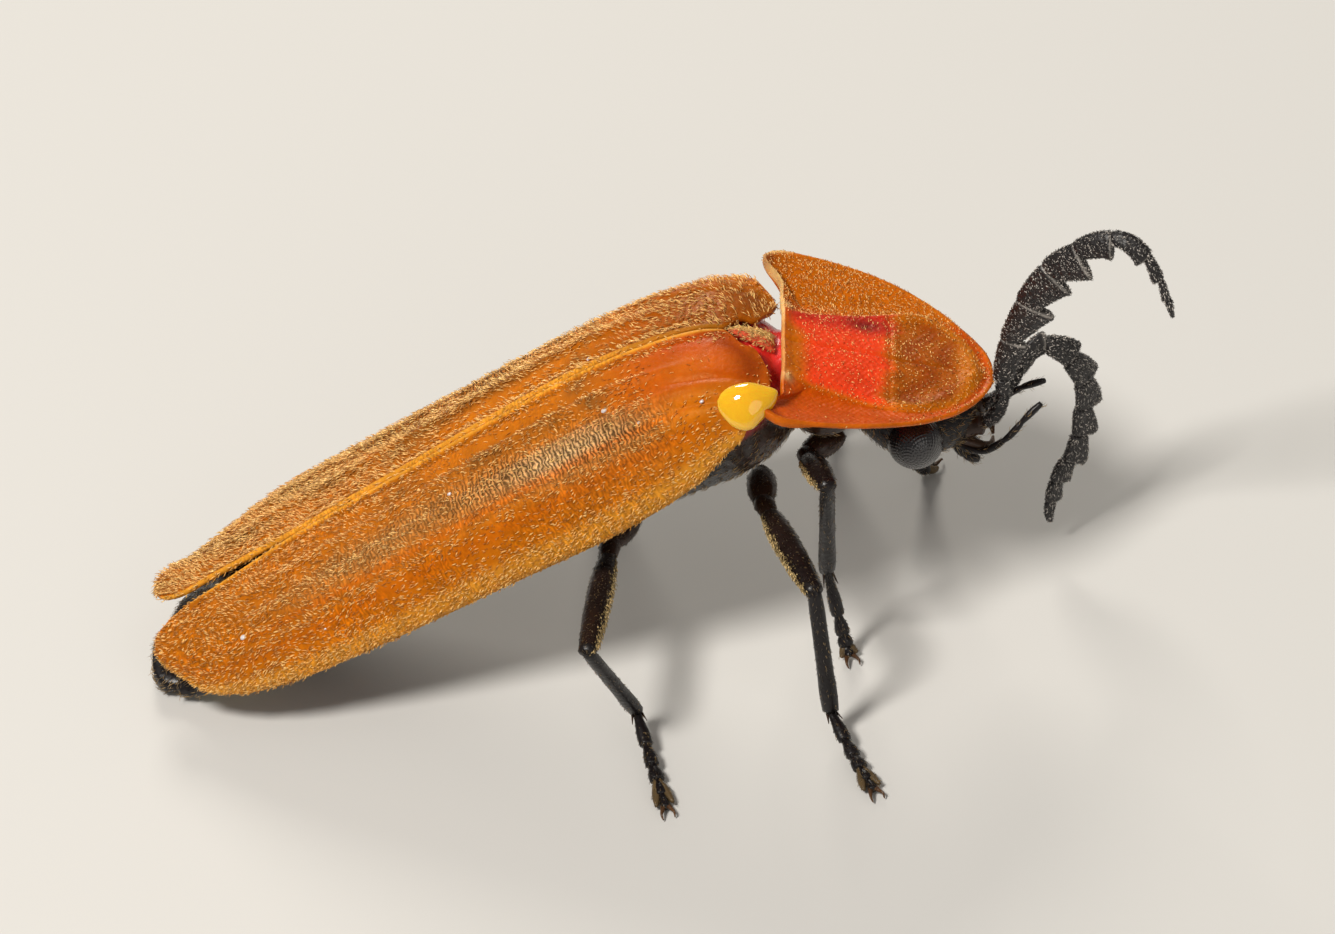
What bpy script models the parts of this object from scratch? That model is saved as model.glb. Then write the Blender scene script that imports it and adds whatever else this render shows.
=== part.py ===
"""Firefly, a still model at life size, standing on six feet and the tip of its abdomen.

Lengths in this file are millimetres until a finished mesh is scaled to metres.
X runs forward to the head, Y to the insect's left, Z up, and the ground is Z = 0.
Body heights are given from the scutellum, the small plate where the wing cases meet.
"""
import math

import bmesh
import bpy
import numpy as np
from mathutils import Matrix

# Driving dimensions
METRES = 0.001
GAP = 0.30
WALL = 0.50
SCUTELLUM = np.array((2.50, 0.0, 6.90))
FLOOR = -SCUTELLUM[2]

ELYTRON_LENGTH = 14.50
ELYTRON_START = 0.10
ELYTRON_PITCH = math.radians(23.0)
ELYTRON_HALF_WIDTH = 2.45
ELYTRON_TIP_SIDE = 0.85
SUTURE_HALF_GAP = 0.15
OPENING_LENGTH = 0.78
SUTURE_HEIGHTS = ((0.0, -0.12), (0.12, 0.05), (0.3, 0.32), (0.5, 0.53), (0.8, 0.74), (1.4, 0.94), (2.3, 1.07),
                  (3.2, 1.12), (4.3, 1.09), (5.6, 0.98), (8.0, 0.72), (10.8, 0.42), (13.0, 0.15), (14.5, 0.0))
MARGIN_HEIGHTS = ((0.0, -0.35), (0.5, -0.50), (2.0, -0.85), (3.6, -0.98), (10.5, -0.98), (12.0, -0.95),
                  (13.0, -0.90), (13.8, -0.75), (14.2, -0.50), (14.5, -0.12))
ARCH_ANGLE = math.radians(80.0)
COSTA_HEIGHT = 0.06
COSTA_PLACES = (0.36, 0.60, 0.82)
COSTA_HALF_WIDTH = 0.05
HUMERAL_BUMP = 0.14

PRONOTUM_LENGTH = 4.40
PRONOTUM_HALF_WIDTH = 2.52
PRONOTUM_PITCH = math.radians(-22.0)
PRONOTUM_BASE = np.array((0.146, 0.0, -0.24))
PRONOTUM_CENTRE = 1.70
DISC_HALF_WIDTH = 1.25
MARGIN_LIFT = 0.28

ANTENNA_ARTICLES = (0.85, 0.35, 1.05, 0.85, 0.80, 0.75, 0.72, 0.68, 0.62, 0.58, 0.75)
ANTENNA_TEETH = (0.22, 0.24, 0.78, 0.76, 0.72, 0.66, 0.58, 0.52, 0.44, 0.36, 0.20)
ANTENNA_HALF_THICKNESS = 0.24

COXA_RADII = (0.16, 0.27, 0.29, 0.27, 0.15)
FEMUR_RADII = (0.14, 0.25, 0.29, 0.29, 0.27, 0.25, 0.14)
TIBIA_RADII = (0.14, 0.23, 0.25, 0.25, 0.26, 0.24)
TARSUS_RADII = (0.21, 0.22, 0.24, 0.29, 0.20)
JOINT_RADIUS = 0.15
JOINT_OVERLAP = 0.16
TOE_HEIGHT = FLOOR + 0.13

EYE_CENTRE = np.array((2.65, 0.0, -2.50))
DROP_RADIUS = 0.50
DROP_CENTRE = np.array((-0.36, -2.12, 0.30))
DROP_NORMAL = np.array((-0.3, -0.35, 0.9))

UP = np.array((0.0, 0.0, 1.0))


def smooth(value):
    """Ease from 0 to 1 as the value goes from 0 to 1."""
    value = min(max(value, 0.0), 1.0)
    return value * value * (3.0 - 2.0 * value)


def unit(vector):
    """The vector at length one."""
    vector = np.asarray(vector, dtype=float)
    return vector / np.linalg.norm(vector)


def pitched(angle):
    """Forward and upward directions of a body plate pitched nose up by the angle."""
    forward = np.array((math.cos(angle), 0.0, math.sin(angle)))
    upward = np.array((-math.sin(angle), 0.0, math.cos(angle)))
    return forward, upward


ELYTRON_FORWARD, ELYTRON_UP = pitched(ELYTRON_PITCH)
PRONOTUM_FORWARD, PRONOTUM_UP = pitched(PRONOTUM_PITCH)


def profile(stations, value):
    """Value of a smooth-enough profile given as (place, size) stations in rising order."""
    places = [station[0] for station in stations]
    sizes = [station[1] for station in stations]
    return float(np.interp(value, places, sizes))


def remove_everything():
    """Start from an empty scene."""
    for item in list(bpy.data.objects):
        bpy.data.objects.remove(item, do_unlink=True)


def material(name, colour, roughness, metallic=0.0):
    """A plain Principled material."""
    made = bpy.data.materials.new(name)
    made.use_nodes = True
    shader = made.node_tree.nodes["Principled BSDF"]
    shader.inputs["Base Color"].default_value = (*colour, 1.0)
    shader.inputs["Roughness"].default_value = roughness
    shader.inputs["Metallic"].default_value = metallic
    return made


def mesh_object(name, points, faces):
    """A closed mesh object in millimetres, its faces turned outward."""
    mesh = bpy.data.meshes.new(name)
    mesh.from_pydata([tuple(point) for point in points], [], faces)
    sheet = bmesh.new()
    sheet.from_mesh(mesh)
    bmesh.ops.recalc_face_normals(sheet, faces=sheet.faces)
    bmesh.ops.triangulate(sheet, faces=sheet.faces)
    sheet.to_mesh(mesh)
    sheet.free()
    item = bpy.data.objects.new(name, mesh)
    bpy.context.scene.collection.objects.link(item)
    return item


def finish(item, colour, roughness):
    """Scale a finished node to metres, place it over the ground and give its material."""
    place = Matrix.Translation(tuple(SCUTELLUM))
    item.data.transform(Matrix.Scale(METRES, 4) @ place)
    item.data.materials.clear()
    item.data.materials.append(material(item.name, colour, roughness))
    item.data.shade_smooth()
    item.data.set_sharp_from_angle(angle=math.radians(50.0))
    return item


def loft(rings):
    """Points and faces of a closed tube through rings of equal count, with flat ends."""
    count = len(rings[0])
    points = [point for ring in rings for point in ring]
    faces = [tuple(range(count))[::-1]]
    for row in range(len(rings) - 1):
        base = row * count
        for step in range(count):
            after = (step + 1) % count
            faces.append((base + step, base + after, base + count + after, base + count + step))
    last = (len(rings) - 1) * count
    faces.append(tuple(range(last, last + count)))
    return points, faces


def shell(top, bottom):
    """Points and faces of a closed plate from two grids of points, upper and lower."""
    rows = len(top)
    columns = len(top[0])
    points = [point for row in top for point in row]
    points += [point for row in bottom for point in row]
    under = rows * columns
    faces = []
    for row in range(rows - 1):
        for column in range(columns - 1):
            corner = row * columns + column
            quad = (corner, corner + 1, corner + columns + 1, corner + columns)
            faces.append(quad)
            faces.append(tuple(under + index for index in reversed(quad)))
    rim = [column for column in range(columns)]
    rim += [row * columns + columns - 1 for row in range(1, rows)]
    rim += [(rows - 1) * columns + column for column in range(columns - 2, -1, -1)]
    rim += [row * columns for row in range(rows - 2, 0, -1)]
    for step, index in enumerate(rim):
        after = rim[(step + 1) % len(rim)]
        faces.append((index, after, under + after, under + index))
    return points, faces


def keep_largest(item):
    """Keep only the largest closed surface of a mesh."""
    sheet = bmesh.new()
    sheet.from_mesh(item.data)
    unseen = set(sheet.faces)
    groups = []
    while unseen:
        stack = [unseen.pop()]
        group = []
        while stack:
            face = stack.pop()
            group.append(face)
            for edge in face.edges:
                for other in edge.link_faces:
                    if other in unseen:
                        unseen.remove(other)
                        stack.append(other)
        groups.append(group)
    groups.sort(key=lambda group: sum(face.calc_area() for face in group))
    for group in groups[:-1]:
        bmesh.ops.delete(sheet, geom=group, context="FACES")
    sheet.to_mesh(item.data)
    sheet.free()


def combine(item, tools, operation):
    """Apply one Boolean of a collection of closed objects to an object, then remove them."""
    group = bpy.data.collections.new("tools")
    bpy.context.scene.collection.children.link(group)
    for tool in tools:
        bpy.context.scene.collection.objects.unlink(tool)
        group.objects.link(tool)
    modifier = item.modifiers.new("join", "BOOLEAN")
    modifier.operation = operation
    modifier.operand_type = "COLLECTION"
    modifier.collection = group
    modifier.solver = "MANIFOLD"
    scene_graph = bpy.context.evaluated_depsgraph_get()
    joined = bpy.data.meshes.new_from_object(item.evaluated_get(scene_graph))
    item.modifiers.clear()
    item.data = joined
    for tool in tools:
        bpy.data.objects.remove(tool, do_unlink=True)
    bpy.data.collections.remove(group)
    keep_largest(item)


def fuse(name, pieces):
    """One closed object from several overlapping closed pieces."""
    items = []
    for number, (points, faces) in enumerate(pieces):
        items.append(mesh_object(f"{name}_{number}" if number else name, points, faces))
    if len(items) > 1:
        combine(items[0], items[1:], "UNION")
    return items[0]


def oval(centre, side, upward, half_side, half_up, count=8, power=2.0):
    """A ring of points on a superellipse in the plane of the two directions."""
    ring = []
    for step in range(count):
        angle = 2.0 * math.pi * (step + 0.5) / count
        across = math.copysign(abs(math.cos(angle)) ** (2.0 / power), math.cos(angle))
        above = math.copysign(abs(math.sin(angle)) ** (2.0 / power), math.sin(angle))
        ring.append(centre + side * half_side * across + upward * half_up * above)
    return ring


def smooth_path(points, count):
    """Points evenly spaced along a Catmull-Rom curve through the given points."""
    points = [np.asarray(point, dtype=float) for point in points]
    ends = [2 * points[0] - points[1]] + points + [2 * points[-1] - points[-2]]
    fine = []
    for index in range(1, len(ends) - 2):
        before, start, end, after = ends[index - 1:index + 3]
        for step in range(12):
            t = step / 12.0
            blend = 2 * start + (end - before) * t
            blend = blend + (2 * before - 5 * start + 4 * end - after) * t * t
            blend = blend + (3 * start - before - 3 * end + after) * t ** 3
            fine.append(0.5 * blend)
    fine.append(points[-1])
    fine = np.array(fine)
    lengths = np.concatenate(([0.0], np.cumsum(np.linalg.norm(np.diff(fine, axis=0), axis=1))))
    even = np.linspace(0.0, lengths[-1], count)
    return np.column_stack([np.interp(even, lengths, fine[:, axis]) for axis in range(3)])


def bone(start, end, radii, side=None, flatness=1.0, sides=8):
    """A straight tapered limb segment with its radii at equal steps from start to end."""
    start = np.asarray(start, dtype=float)
    end = np.asarray(end, dtype=float)
    along = unit(end - start)
    side = unit(np.cross(along, UP if side is None else np.cross(side, along)))
    upward = np.cross(along, side)
    rings = []
    for step, radius in enumerate(radii):
        centre = start + (end - start) * step / (len(radii) - 1)
        rings.append(oval(centre, side, upward, radius, radius * flatness, sides))
    return loft(rings)


# Wing cases

def elytron_full_width(along):
    """Half-width of the pair before the tips round off."""
    corner = max(0.0, 1.0 - along / 1.2)
    return ELYTRON_HALF_WIDTH + 0.17 * smooth((along - 1.0) / 8.0) - 0.95 * corner * corner


def elytron_outer(along):
    """Distance of the outer margin from the midline."""
    share = min(max(0.0, (along - 9.5) / (ELYTRON_LENGTH - 9.5)), 1.0)
    rounding = math.sqrt(1.0 - share ** 3.2)
    return ELYTRON_TIP_SIDE + (elytron_full_width(along) - ELYTRON_TIP_SIDE) * rounding


def elytron_inner(along):
    """Distance of the inner edge from the midline: open at the base, parting to the tips."""
    opening = 1.05 * max(0.0, 1.0 - along / OPENING_LENGTH) ** 2
    parting = 0.22 * smooth((along - 7.0) / 6.5)
    edge = SUTURE_HALF_GAP + opening + parting
    share = min(max(0.0, (along - 13.0) / (ELYTRON_LENGTH - 13.0)), 1.0)
    return edge + (ELYTRON_TIP_SIDE - edge) * (1.0 - math.sqrt(1.0 - share * share))


def arch_fall(share):
    """Share of the full fall reached at a share of the way from the suture to the margin."""
    sine = share ** 1.18 * math.sin(ARCH_ANGLE)
    return ((1.0 - math.sqrt(1.0 - sine * sine)) / (1.0 - math.cos(ARCH_ANGLE))) ** 1.29


def elytron_height(along, across):
    """Height of the wing case's outer face over the chord of the suture."""
    across = abs(across)
    width = max(elytron_outer(along), ELYTRON_HALF_WIDTH - 0.5 * smooth((along - 10.0) / 3.5), 0.1)
    share = min(across / width, 1.0)
    suture = profile(SUTURE_HEIGHTS, along)
    fall = (suture - profile(MARGIN_HEIGHTS, along)) * arch_fall(share)
    bump = math.exp(-((along - 1.0) / 0.8) ** 2 - ((across - 1.75) / 0.35) ** 2)
    return suture - fall + HUMERAL_BUMP * bump


def elytron_point(along, across, height):
    """A point in the wing cases' own frame, along measured back from the scutellum."""
    return -ELYTRON_FORWARD * along + np.array((0.0, across, 0.0)) + ELYTRON_UP * height


def under_elytra(x, across):
    """Height of the wing cases' lower face over a place, from the scutellum."""
    outward = min(abs(across) + 0.3, ELYTRON_HALF_WIDTH + 0.1)
    height = 0.0
    for _ in range(4):
        along = -(x + ELYTRON_UP[0] * -height) / ELYTRON_FORWARD[0]
        height = elytron_height(along, outward) - WALL - 0.12
    return elytron_point(along, across, height)[2]


def elytron_columns():
    """Shares of the width at which the grid has a column, three close ones at each rib."""
    columns = {0.0, 0.05, 0.18, 0.48, 0.71, 0.90, 0.96, 1.0}
    for place in COSTA_PLACES:
        columns |= {place - COSTA_HALF_WIDTH, place, place + COSTA_HALF_WIDTH}
    return sorted(columns)


ELYTRON_STATIONS = (ELYTRON_START, 0.22, 0.38, 0.58, 0.85, 1.25, 1.8, 2.5, 3.4, 4.5, 5.7, 6.9, 8.1, 9.3,
                    10.4, 11.3, 12.1, 12.8, 13.35, 13.8, 14.15, 14.36, 14.46)


def make_elytron(side, name):
    """One wing case: an arched plate with three low ribs and a raised suture edge."""
    top = []
    bottom = []
    for along in ELYTRON_STATIONS:
        inner = elytron_inner(along)
        outer = elytron_outer(along)
        fade = smooth((along - 1.0) / 2.0) * (1.0 - smooth((along - 12.0) / 2.0))
        lean = smooth((outer - inner - 0.9) / 1.0)
        upper_row = []
        lower_row = []
        for share in elytron_columns():
            across = inner + (outer - inner) * share
            height = elytron_height(along, across)
            slope = lean * (elytron_height(along, across - 0.05) - height) / 0.05
            normal = unit((slope, 1.0))
            if share in COSTA_PLACES:
                height += COSTA_HEIGHT * fade
            if share == 0.0:
                height += 0.5 * COSTA_HEIGHT
            wall = WALL * (1.0 - 0.25 * smooth((share - 0.9) / 0.1))
            upper_row.append(elytron_point(along, across * side, height))
            within = max(across - wall * normal[0], inner + 0.02 * share)
            lower_row.append(elytron_point(along, within * side, height - wall * normal[1]))
        top.append(upper_row)
        bottom.append(lower_row)
    points, faces = shell(top, bottom)
    return finish(mesh_object(name, points, faces), (0.72, 0.24, 0.02), 0.45)


# Shield over the head

def pronotum_rear(across):
    """Place of the shield's hind edge, bowed forward in the middle."""
    return 0.12 - 0.40 * smooth((abs(across) - 1.6) / 0.7)


def pronotum_outline():
    """The shield's outline as (along, across) places, once round."""
    front = []
    steps = 14
    for step in range(steps + 1):
        angle = 0.5 * math.pi * step / steps
        along = PRONOTUM_LENGTH * math.sin(angle)
        across = PRONOTUM_HALF_WIDTH * math.cos(angle) ** 1.12
        front.append((max(along, pronotum_rear(across)), across))
    rear_places = (-2.25, -1.95, -1.5, -0.8, 0.0, 0.8, 1.5, 1.95, 2.25)
    rear = [(pronotum_rear(across), across) for across in rear_places]
    mirrored = [(along, -across) for along, across in reversed(front[:-1])]
    return front + mirrored + rear


def pronotum_height(along, across, share):
    """Height of the shield's upper face; share runs from its centre to its outline."""
    disc = 0.10 * max(0.0, 1.0 - (across / DISC_HALF_WIDTH) ** 2)
    sideways = abs(across) / PRONOTUM_HALF_WIDTH
    lift = MARGIN_LIFT * smooth((share - 0.55) / 0.45) * (0.25 + 0.75 * min(1.0, sideways * 1.3))
    rearward = smooth((1.6 - along) / 1.6) * (1.0 - min(1.0, sideways * 1.4))
    return disc + lift * (1.0 - rearward)


def pronotum_point(along, across, height):
    """A point in the shield's own frame."""
    side = np.array((0.0, across, 0.0))
    return PRONOTUM_BASE + PRONOTUM_FORWARD * along + side + PRONOTUM_UP * height


def under_pronotum(x):
    """Height of the shield's lower face under its middle, from the scutellum."""
    along = (x - PRONOTUM_BASE[0]) / PRONOTUM_FORWARD[0]
    return pronotum_point(along, 0.0, 0.0)[2] - WALL


def make_pronotum():
    """The shield: a plate with a low disc and turned-up side margins."""
    outline = pronotum_outline()
    shares = (0.0, 0.3, 0.52, 0.7, 0.84, 0.94, 1.0)
    count = len(outline)
    points = []
    for lower in (False, True):
        for share in shares:
            ring = outline if share > 0.0 else outline[:1]
            for along, across in ring:
                place = PRONOTUM_CENTRE + (along - PRONOTUM_CENTRE) * share
                height = pronotum_height(place, across * share, share)
                point = pronotum_point(place, across * share, height)
                front_thin = 0.14 * smooth((place - 3.4) / 1.0) * smooth((share - 0.6) / 0.4)
                wall = WALL - front_thin
                points.append(point - UP * wall if lower else point)
    half = 1 + count * (len(shares) - 1)
    faces = []
    for offset, flip in ((0, False), (half, True)):
        for step in range(count):
            after = (step + 1) % count
            face = (offset, offset + 1 + step, offset + 1 + after)
            faces.append(face[::-1] if flip else face)
            for ring in range(len(shares) - 2):
                first = offset + 1 + ring * count
                face = (first + step, first + count + step, first + count + after, first + after)
                faces.append(face[::-1] if flip else face)
    rim = 1 + (len(shares) - 2) * count
    for step in range(count):
        after = (step + 1) % count
        faces.append((rim + step, half + rim + step, half + rim + after, rim + after))
    item = mesh_object("pronotum", points, faces)
    return finish(item, (0.75, 0.20, 0.03), 0.42)


# Trunk under the plates

def body_ring(x, half_width, top, bottom, roof=None, count=20, power=2.3):
    """An upright ring of the trunk; a roof function keeps its back clear of the plates."""
    centre = np.array((x, 0.0, 0.5 * (top + bottom)))
    side = np.array((0.0, 1.0, 0.0))
    ring = oval(centre, side, UP, half_width, 0.5 * (top - bottom), count, power)
    if roof is None:
        return ring
    for index in range(count // 2):
        upper = ring[index]
        lower = ring[count - 1 - index]
        ceiling = roof(x, upper[1]) - GAP
        lower[2] = max(min(lower[2], ceiling - 0.10), bottom)
        upper[2] = max(min(upper[2], ceiling), lower[2] + 0.05)
    return ring


# Stations of the trunk: place, half-width and lowest height
PROSTERNUM_STATIONS = ((0.42, 1.15, -1.80), (0.62, 1.30, -1.92), (1.0, 1.20, -2.02), (1.24, 0.95, -2.02))
HEAD_STATIONS = ((1.55, 0.50, -2.60), (1.9, 0.66, -2.95), (2.4, 0.62, -3.15), (2.9, 0.62, -3.25),
                 (3.25, 0.66, -3.25), (3.5, 0.56, -3.2), (3.68, 0.34, -3.1))
THORAX_STATIONS = ((0.12, 0.9, -2.2), (-0.1, 1.3, -2.5), (-0.6, 1.6, -2.75), (-1.4, 1.8, -3.0),
                   (-2.4, 1.9, -3.25), (-3.4, 1.92, -3.42), (-4.05, 1.85, -3.5), (-4.3, 1.7, -3.4))
ABDOMEN_WIDTHS = ((-13.3, 1.10), (-13.0, 1.45), (-12.5, 1.62), (-12.0, 1.68), (-11.0, 1.72), (-9.0, 1.82),
                  (-7.0, 1.88), (-4.6, 1.85))
ABDOMEN_BOTTOMS = ((-13.3, -6.9), (-12.75, -6.9), (-12.3, -6.72), (-11.5, -6.38), (-10.0, -5.75),
                   (-8.0, -4.95), (-6.0, -4.15), (-4.6, -3.62))


def make_prosternum():
    """Underside of the fore body, between the fore legs."""
    rings = []
    for x, half_width, bottom in PROSTERNUM_STATIONS:
        rings.append(body_ring(x, half_width, under_pronotum(x) - GAP, bottom, count=16))
    item = mesh_object("prosternum", *loft(rings))
    return finish(item, (0.10, 0.05, 0.03), 0.5)


def make_head():
    """The head under the shield, with its snout, jaws and feelers of the mouth."""
    rings = []
    for x, half_width, bottom in HEAD_STATIONS:
        top = under_pronotum(x) - GAP
        rings.append(body_ring(x, half_width, top, bottom, count=16))
    pieces = [loft(rings)]
    for side in (-1.0, 1.0):
        jaw = smooth_path(((3.3, 0.3 * side, -3.1), (3.7, 0.40 * side, -3.32), (3.95, 0.1 * side, -3.42)), 5)
        pieces.append(tapered_path(jaw, (0.16, 0.17, 0.15, 0.11, 0.05)))
        palp = smooth_path(((3.2, 0.4 * side, -3.1), (3.7, 0.72 * side, -3.5),
                            (4.3, 0.80 * side, -3.4), (4.75, 0.66 * side, -3.1)), 9)
        pieces.append(tapered_path(palp, (0.13, 0.14, 0.10, 0.15, 0.11, 0.16, 0.12, 0.17, 0.05)))
        lower = smooth_path(((3.1, 0.2 * side, -3.1), (3.4, 0.26 * side, -3.6),
                             (3.8, 0.24 * side, -3.8)), 6)
        pieces.append(tapered_path(lower, (0.12, 0.12, 0.09, 0.13, 0.12, 0.05)))
    return finish(fuse("head", pieces), (0.03, 0.025, 0.02), 0.4)


def tapered_path(path, radii, sides=6):
    """A round tube along a path with its own radius at each point."""
    rings = []
    for index, centre in enumerate(path):
        before = path[max(index - 1, 0)]
        after = path[min(index + 1, len(path) - 1)]
        along = unit(after - before)
        reference = np.array((0.0, 1.0, 0.0)) if abs(along[1]) < 0.9 else UP
        side = unit(np.cross(reference, along))
        rings.append(oval(centre, side, np.cross(along, side), radii[index], radii[index], sides))
    return loft(rings)


def make_eye(side, name):
    """A large domed eye, its flat inner face beside the head."""
    forward = np.array((1.0, 0.0, 0.0))
    rings = []
    for across, radius in ((0.93, 0.48), (1.0, 0.56), (1.15, 0.60), (1.3, 0.54), (1.43, 0.38), (1.5, 0.16)):
        place = EYE_CENTRE + np.array((0.0, across * side, 0.0))
        rings.append(oval(place, forward, UP, radius, radius, 16))
    item = mesh_object(name, *loft(rings))
    return finish(item, (0.01, 0.01, 0.012), 0.15)


def make_thorax():
    """Middle and hind thorax, with the scutellum raised between the wing cases."""
    rings = []
    for x, half_width, bottom in THORAX_STATIONS:
        top = min(under_elytra(x, 0.0) - GAP, -0.45)
        rings.append(body_ring(x, half_width, top, bottom, under_elytra))
    plate = []
    for along, half_width in ((-0.06, 0.80), (0.12, 0.56), (0.28, 0.25), (0.42, 0.06)):
        top = profile(SUTURE_HEIGHTS, along) + 0.04
        edge = top - 0.06
        section = ((-1, -1.3), (1, -1.3), (1, edge), (0.5, top), (-0.5, top), (-1, edge))
        plate.append([elytron_point(along, across * half_width, height) for across, height in section])
    return finish(fuse("thorax", [loft(rings), loft(plate)]), (0.05, 0.03, 0.02), 0.5)


def make_abdomen_length(name, breaks, colour, roughness, rounded=False):
    """Some segments of the abdomen, each a little wider and deeper at its hind edge."""
    rings = []
    for front, rear in zip(breaks[:-1], breaks[1:]):
        for x, swell in ((front - 0.02, 0.0), (0.5 * (front + rear), 0.05), (rear + 0.06, 0.09)):
            half_width = profile(ABDOMEN_WIDTHS, x) - 0.09 + swell
            bottom = max(profile(ABDOMEN_BOTTOMS, x) + 0.09 - swell, FLOOR)
            top = under_elytra(x, 0.0) - GAP
            rings.append(body_ring(x, half_width, top, bottom, under_elytra))
    if rounded:
        x = breaks[-1] - 0.15
        top = under_elytra(x, 0.0) - GAP - 0.2
        rings.append(body_ring(x, 0.62, top, FLOOR + 0.14, under_elytra))
    item = mesh_object(name, *loft(rings))
    return finish(item, colour, roughness)


# Feelers

def make_antenna(name, path, facing, tooth_side):
    """A flat, toothed feeler of eleven articles along a smooth path."""
    total = sum(ANTENNA_ARTICLES)
    fine = smooth_path(path, 121)
    facing = unit(facing)
    rings = []
    done = 0.0
    for article, (length, tooth) in enumerate(zip(ANTENNA_ARTICLES, ANTENNA_TEETH)):
        back = 0.20 if article > 1 else 0.19
        last = article == len(ANTENNA_ARTICLES) - 1
        shares = ((0.04, 0.62, 0.80), (0.5, 0.80, 1.0), (0.93, 1.0, 0.95))
        for share, width_share, thick_share in shares:
            if last and share > 0.9:
                width_share, thick_share = 0.3, 0.3
            if article < 2:
                width_share = 0.8 + 0.2 * share
            where = (done + length * share) / total
            index = min(where * 120.0, 119.99)
            low = int(index)
            centre = fine[low] + (fine[low + 1] - fine[low]) * (index - low)
            ahead = fine[min(low + 4, 120)]
            behind = fine[max(low - 4, 0)]
            along = unit(ahead - behind)
            across = unit(np.cross(facing, along)) * tooth_side
            flat = np.cross(along, across)
            reach = tooth * width_share
            if article > 1 and share < 0.1:
                reach = min(reach, 0.26)
            wide = 0.5 * (reach + back * min(1.0, width_share + 0.3))
            middle = centre + across * (wide - back * min(1.0, width_share + 0.3))
            thick = ANTENNA_HALF_THICKNESS * thick_share
            rings.append(oval(middle, across, flat, wide, thick, 8, 2.4))
        done += length
    item = mesh_object(name, *loft(rings))
    return finish(item, (0.02, 0.02, 0.02), 0.55)


# Legs

def tarsus_path(ankle, toe):
    """Bends from the ankle down to the ground and out along it to the toe."""
    ankle = np.asarray(ankle, dtype=float)
    toe = np.asarray(toe, dtype=float)
    flat = (toe - ankle) * np.array((1.0, 1.0, 0.0))
    control = toe - flat * 0.55
    places = []
    for share in (0.0, 0.34, 0.54, 0.70, 0.86, 1.0):
        rest = 1.0 - share
        places.append(rest * rest * ankle + 2 * rest * share * control + share * share * toe)
    return places


def make_leg(name, joints):
    """One leg: coxa, trochanter and femur, tibia, five tarsal articles and two claws."""
    coxa, trochanter, knee, ankle, toe = [np.asarray(joint, dtype=float) for joint in joints]
    over_trochanter = trochanter + unit(trochanter - knee) * JOINT_OVERLAP
    over_knee = knee + unit(knee - trochanter) * JOINT_OVERLAP
    over_ankle = knee + unit(knee - ankle) * JOINT_OVERLAP
    pieces = [bone(coxa, trochanter, COXA_RADII)]
    pieces.append(bone(over_trochanter, over_knee, FEMUR_RADII))
    pieces.append(bone(over_ankle, ankle, TIBIA_RADII))
    places = tarsus_path(ankle, toe)
    for start, end, wide in zip(places[:-1], places[1:], TARSUS_RADII):
        back = start - unit(end - start) * 0.10
        pieces.append(bone(back, end, (JOINT_RADIUS, 0.5 * (JOINT_RADIUS + wide), wide, 0.8 * wide)))
    heading = unit((toe - places[4]) * np.array((1.0, 1.0, 0.0)))
    side = np.array((-heading[1], heading[0], 0.0))
    for turn in (-1.0, 1.0):
        outward = side * turn
        claw = smooth_path((toe - heading * 0.08 + outward * 0.06, toe + heading * 0.2 + outward * 0.2,
                            toe + heading * 0.42 + outward * 0.26 - UP * 0.12), 4)
        pieces.append(tapered_path(claw, (0.12, 0.12, 0.09, 0.04)))
    item = fuse(name, pieces)
    ground = FLOOR - 1.0
    half = 12.0
    corners = []
    for z in (ground, FLOOR):
        corners += [(-half, -half, z), (half, -half, z), (half, half, z), (-half, half, z)]
    slab = [(0, 3, 2, 1), (4, 5, 6, 7), (0, 1, 5, 4), (1, 2, 6, 5), (2, 3, 7, 6), (3, 0, 4, 7)]
    combine(item, [mesh_object("ground", corners, slab)], "DIFFERENCE")
    return finish(item, (0.02, 0.017, 0.015), 0.5)


# Joints of each leg from the body out: coxa, trochanter, knee, ankle and toe
LEG_JOINTS = {
    "leg_front_right": ((1.0, -0.45, -2.55), (0.45, -0.85, -2.55), (0.97, -2.68, -1.80),
                        (0.50, -1.85, -4.85), (0.66, -2.35, TOE_HEIGHT)),
    "leg_front_left": ((1.0, 0.45, -2.55), (0.50, 0.85, -2.55), (1.75, 2.85, -2.05),
                       (1.95, 2.15, -5.0), (2.35, 3.0, TOE_HEIGHT)),
    "leg_mid_right": ((-0.62, -0.42, -3.42), (-0.57, -1.2, -3.40), (0.46, -4.0, -3.4),
                      (0.33, -4.37, -6.35), (1.12, -6.34, TOE_HEIGHT)),
    "leg_mid_left": ((-0.62, 0.42, -3.42), (-0.57, 1.2, -3.40), (0.36, 4.0, -3.3),
                     (0.2, 4.2, -6.3), (0.75, 6.15, TOE_HEIGHT)),
    "leg_hind_right": ((-3.4, -0.45, -4.12), (-3.77, -1.2, -4.05), (-4.19, -4.62, -3.75),
                       (-3.61, -3.74, -6.3), (-3.08, -6.16, TOE_HEIGHT)),
    "leg_hind_left": ((-3.4, 0.45, -4.12), (-3.77, 1.2, -4.05), (-4.45, 4.55, -3.75),
                      (-4.35, 3.75, -6.3), (-4.6, 6.1, TOE_HEIGHT)),
}

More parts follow.
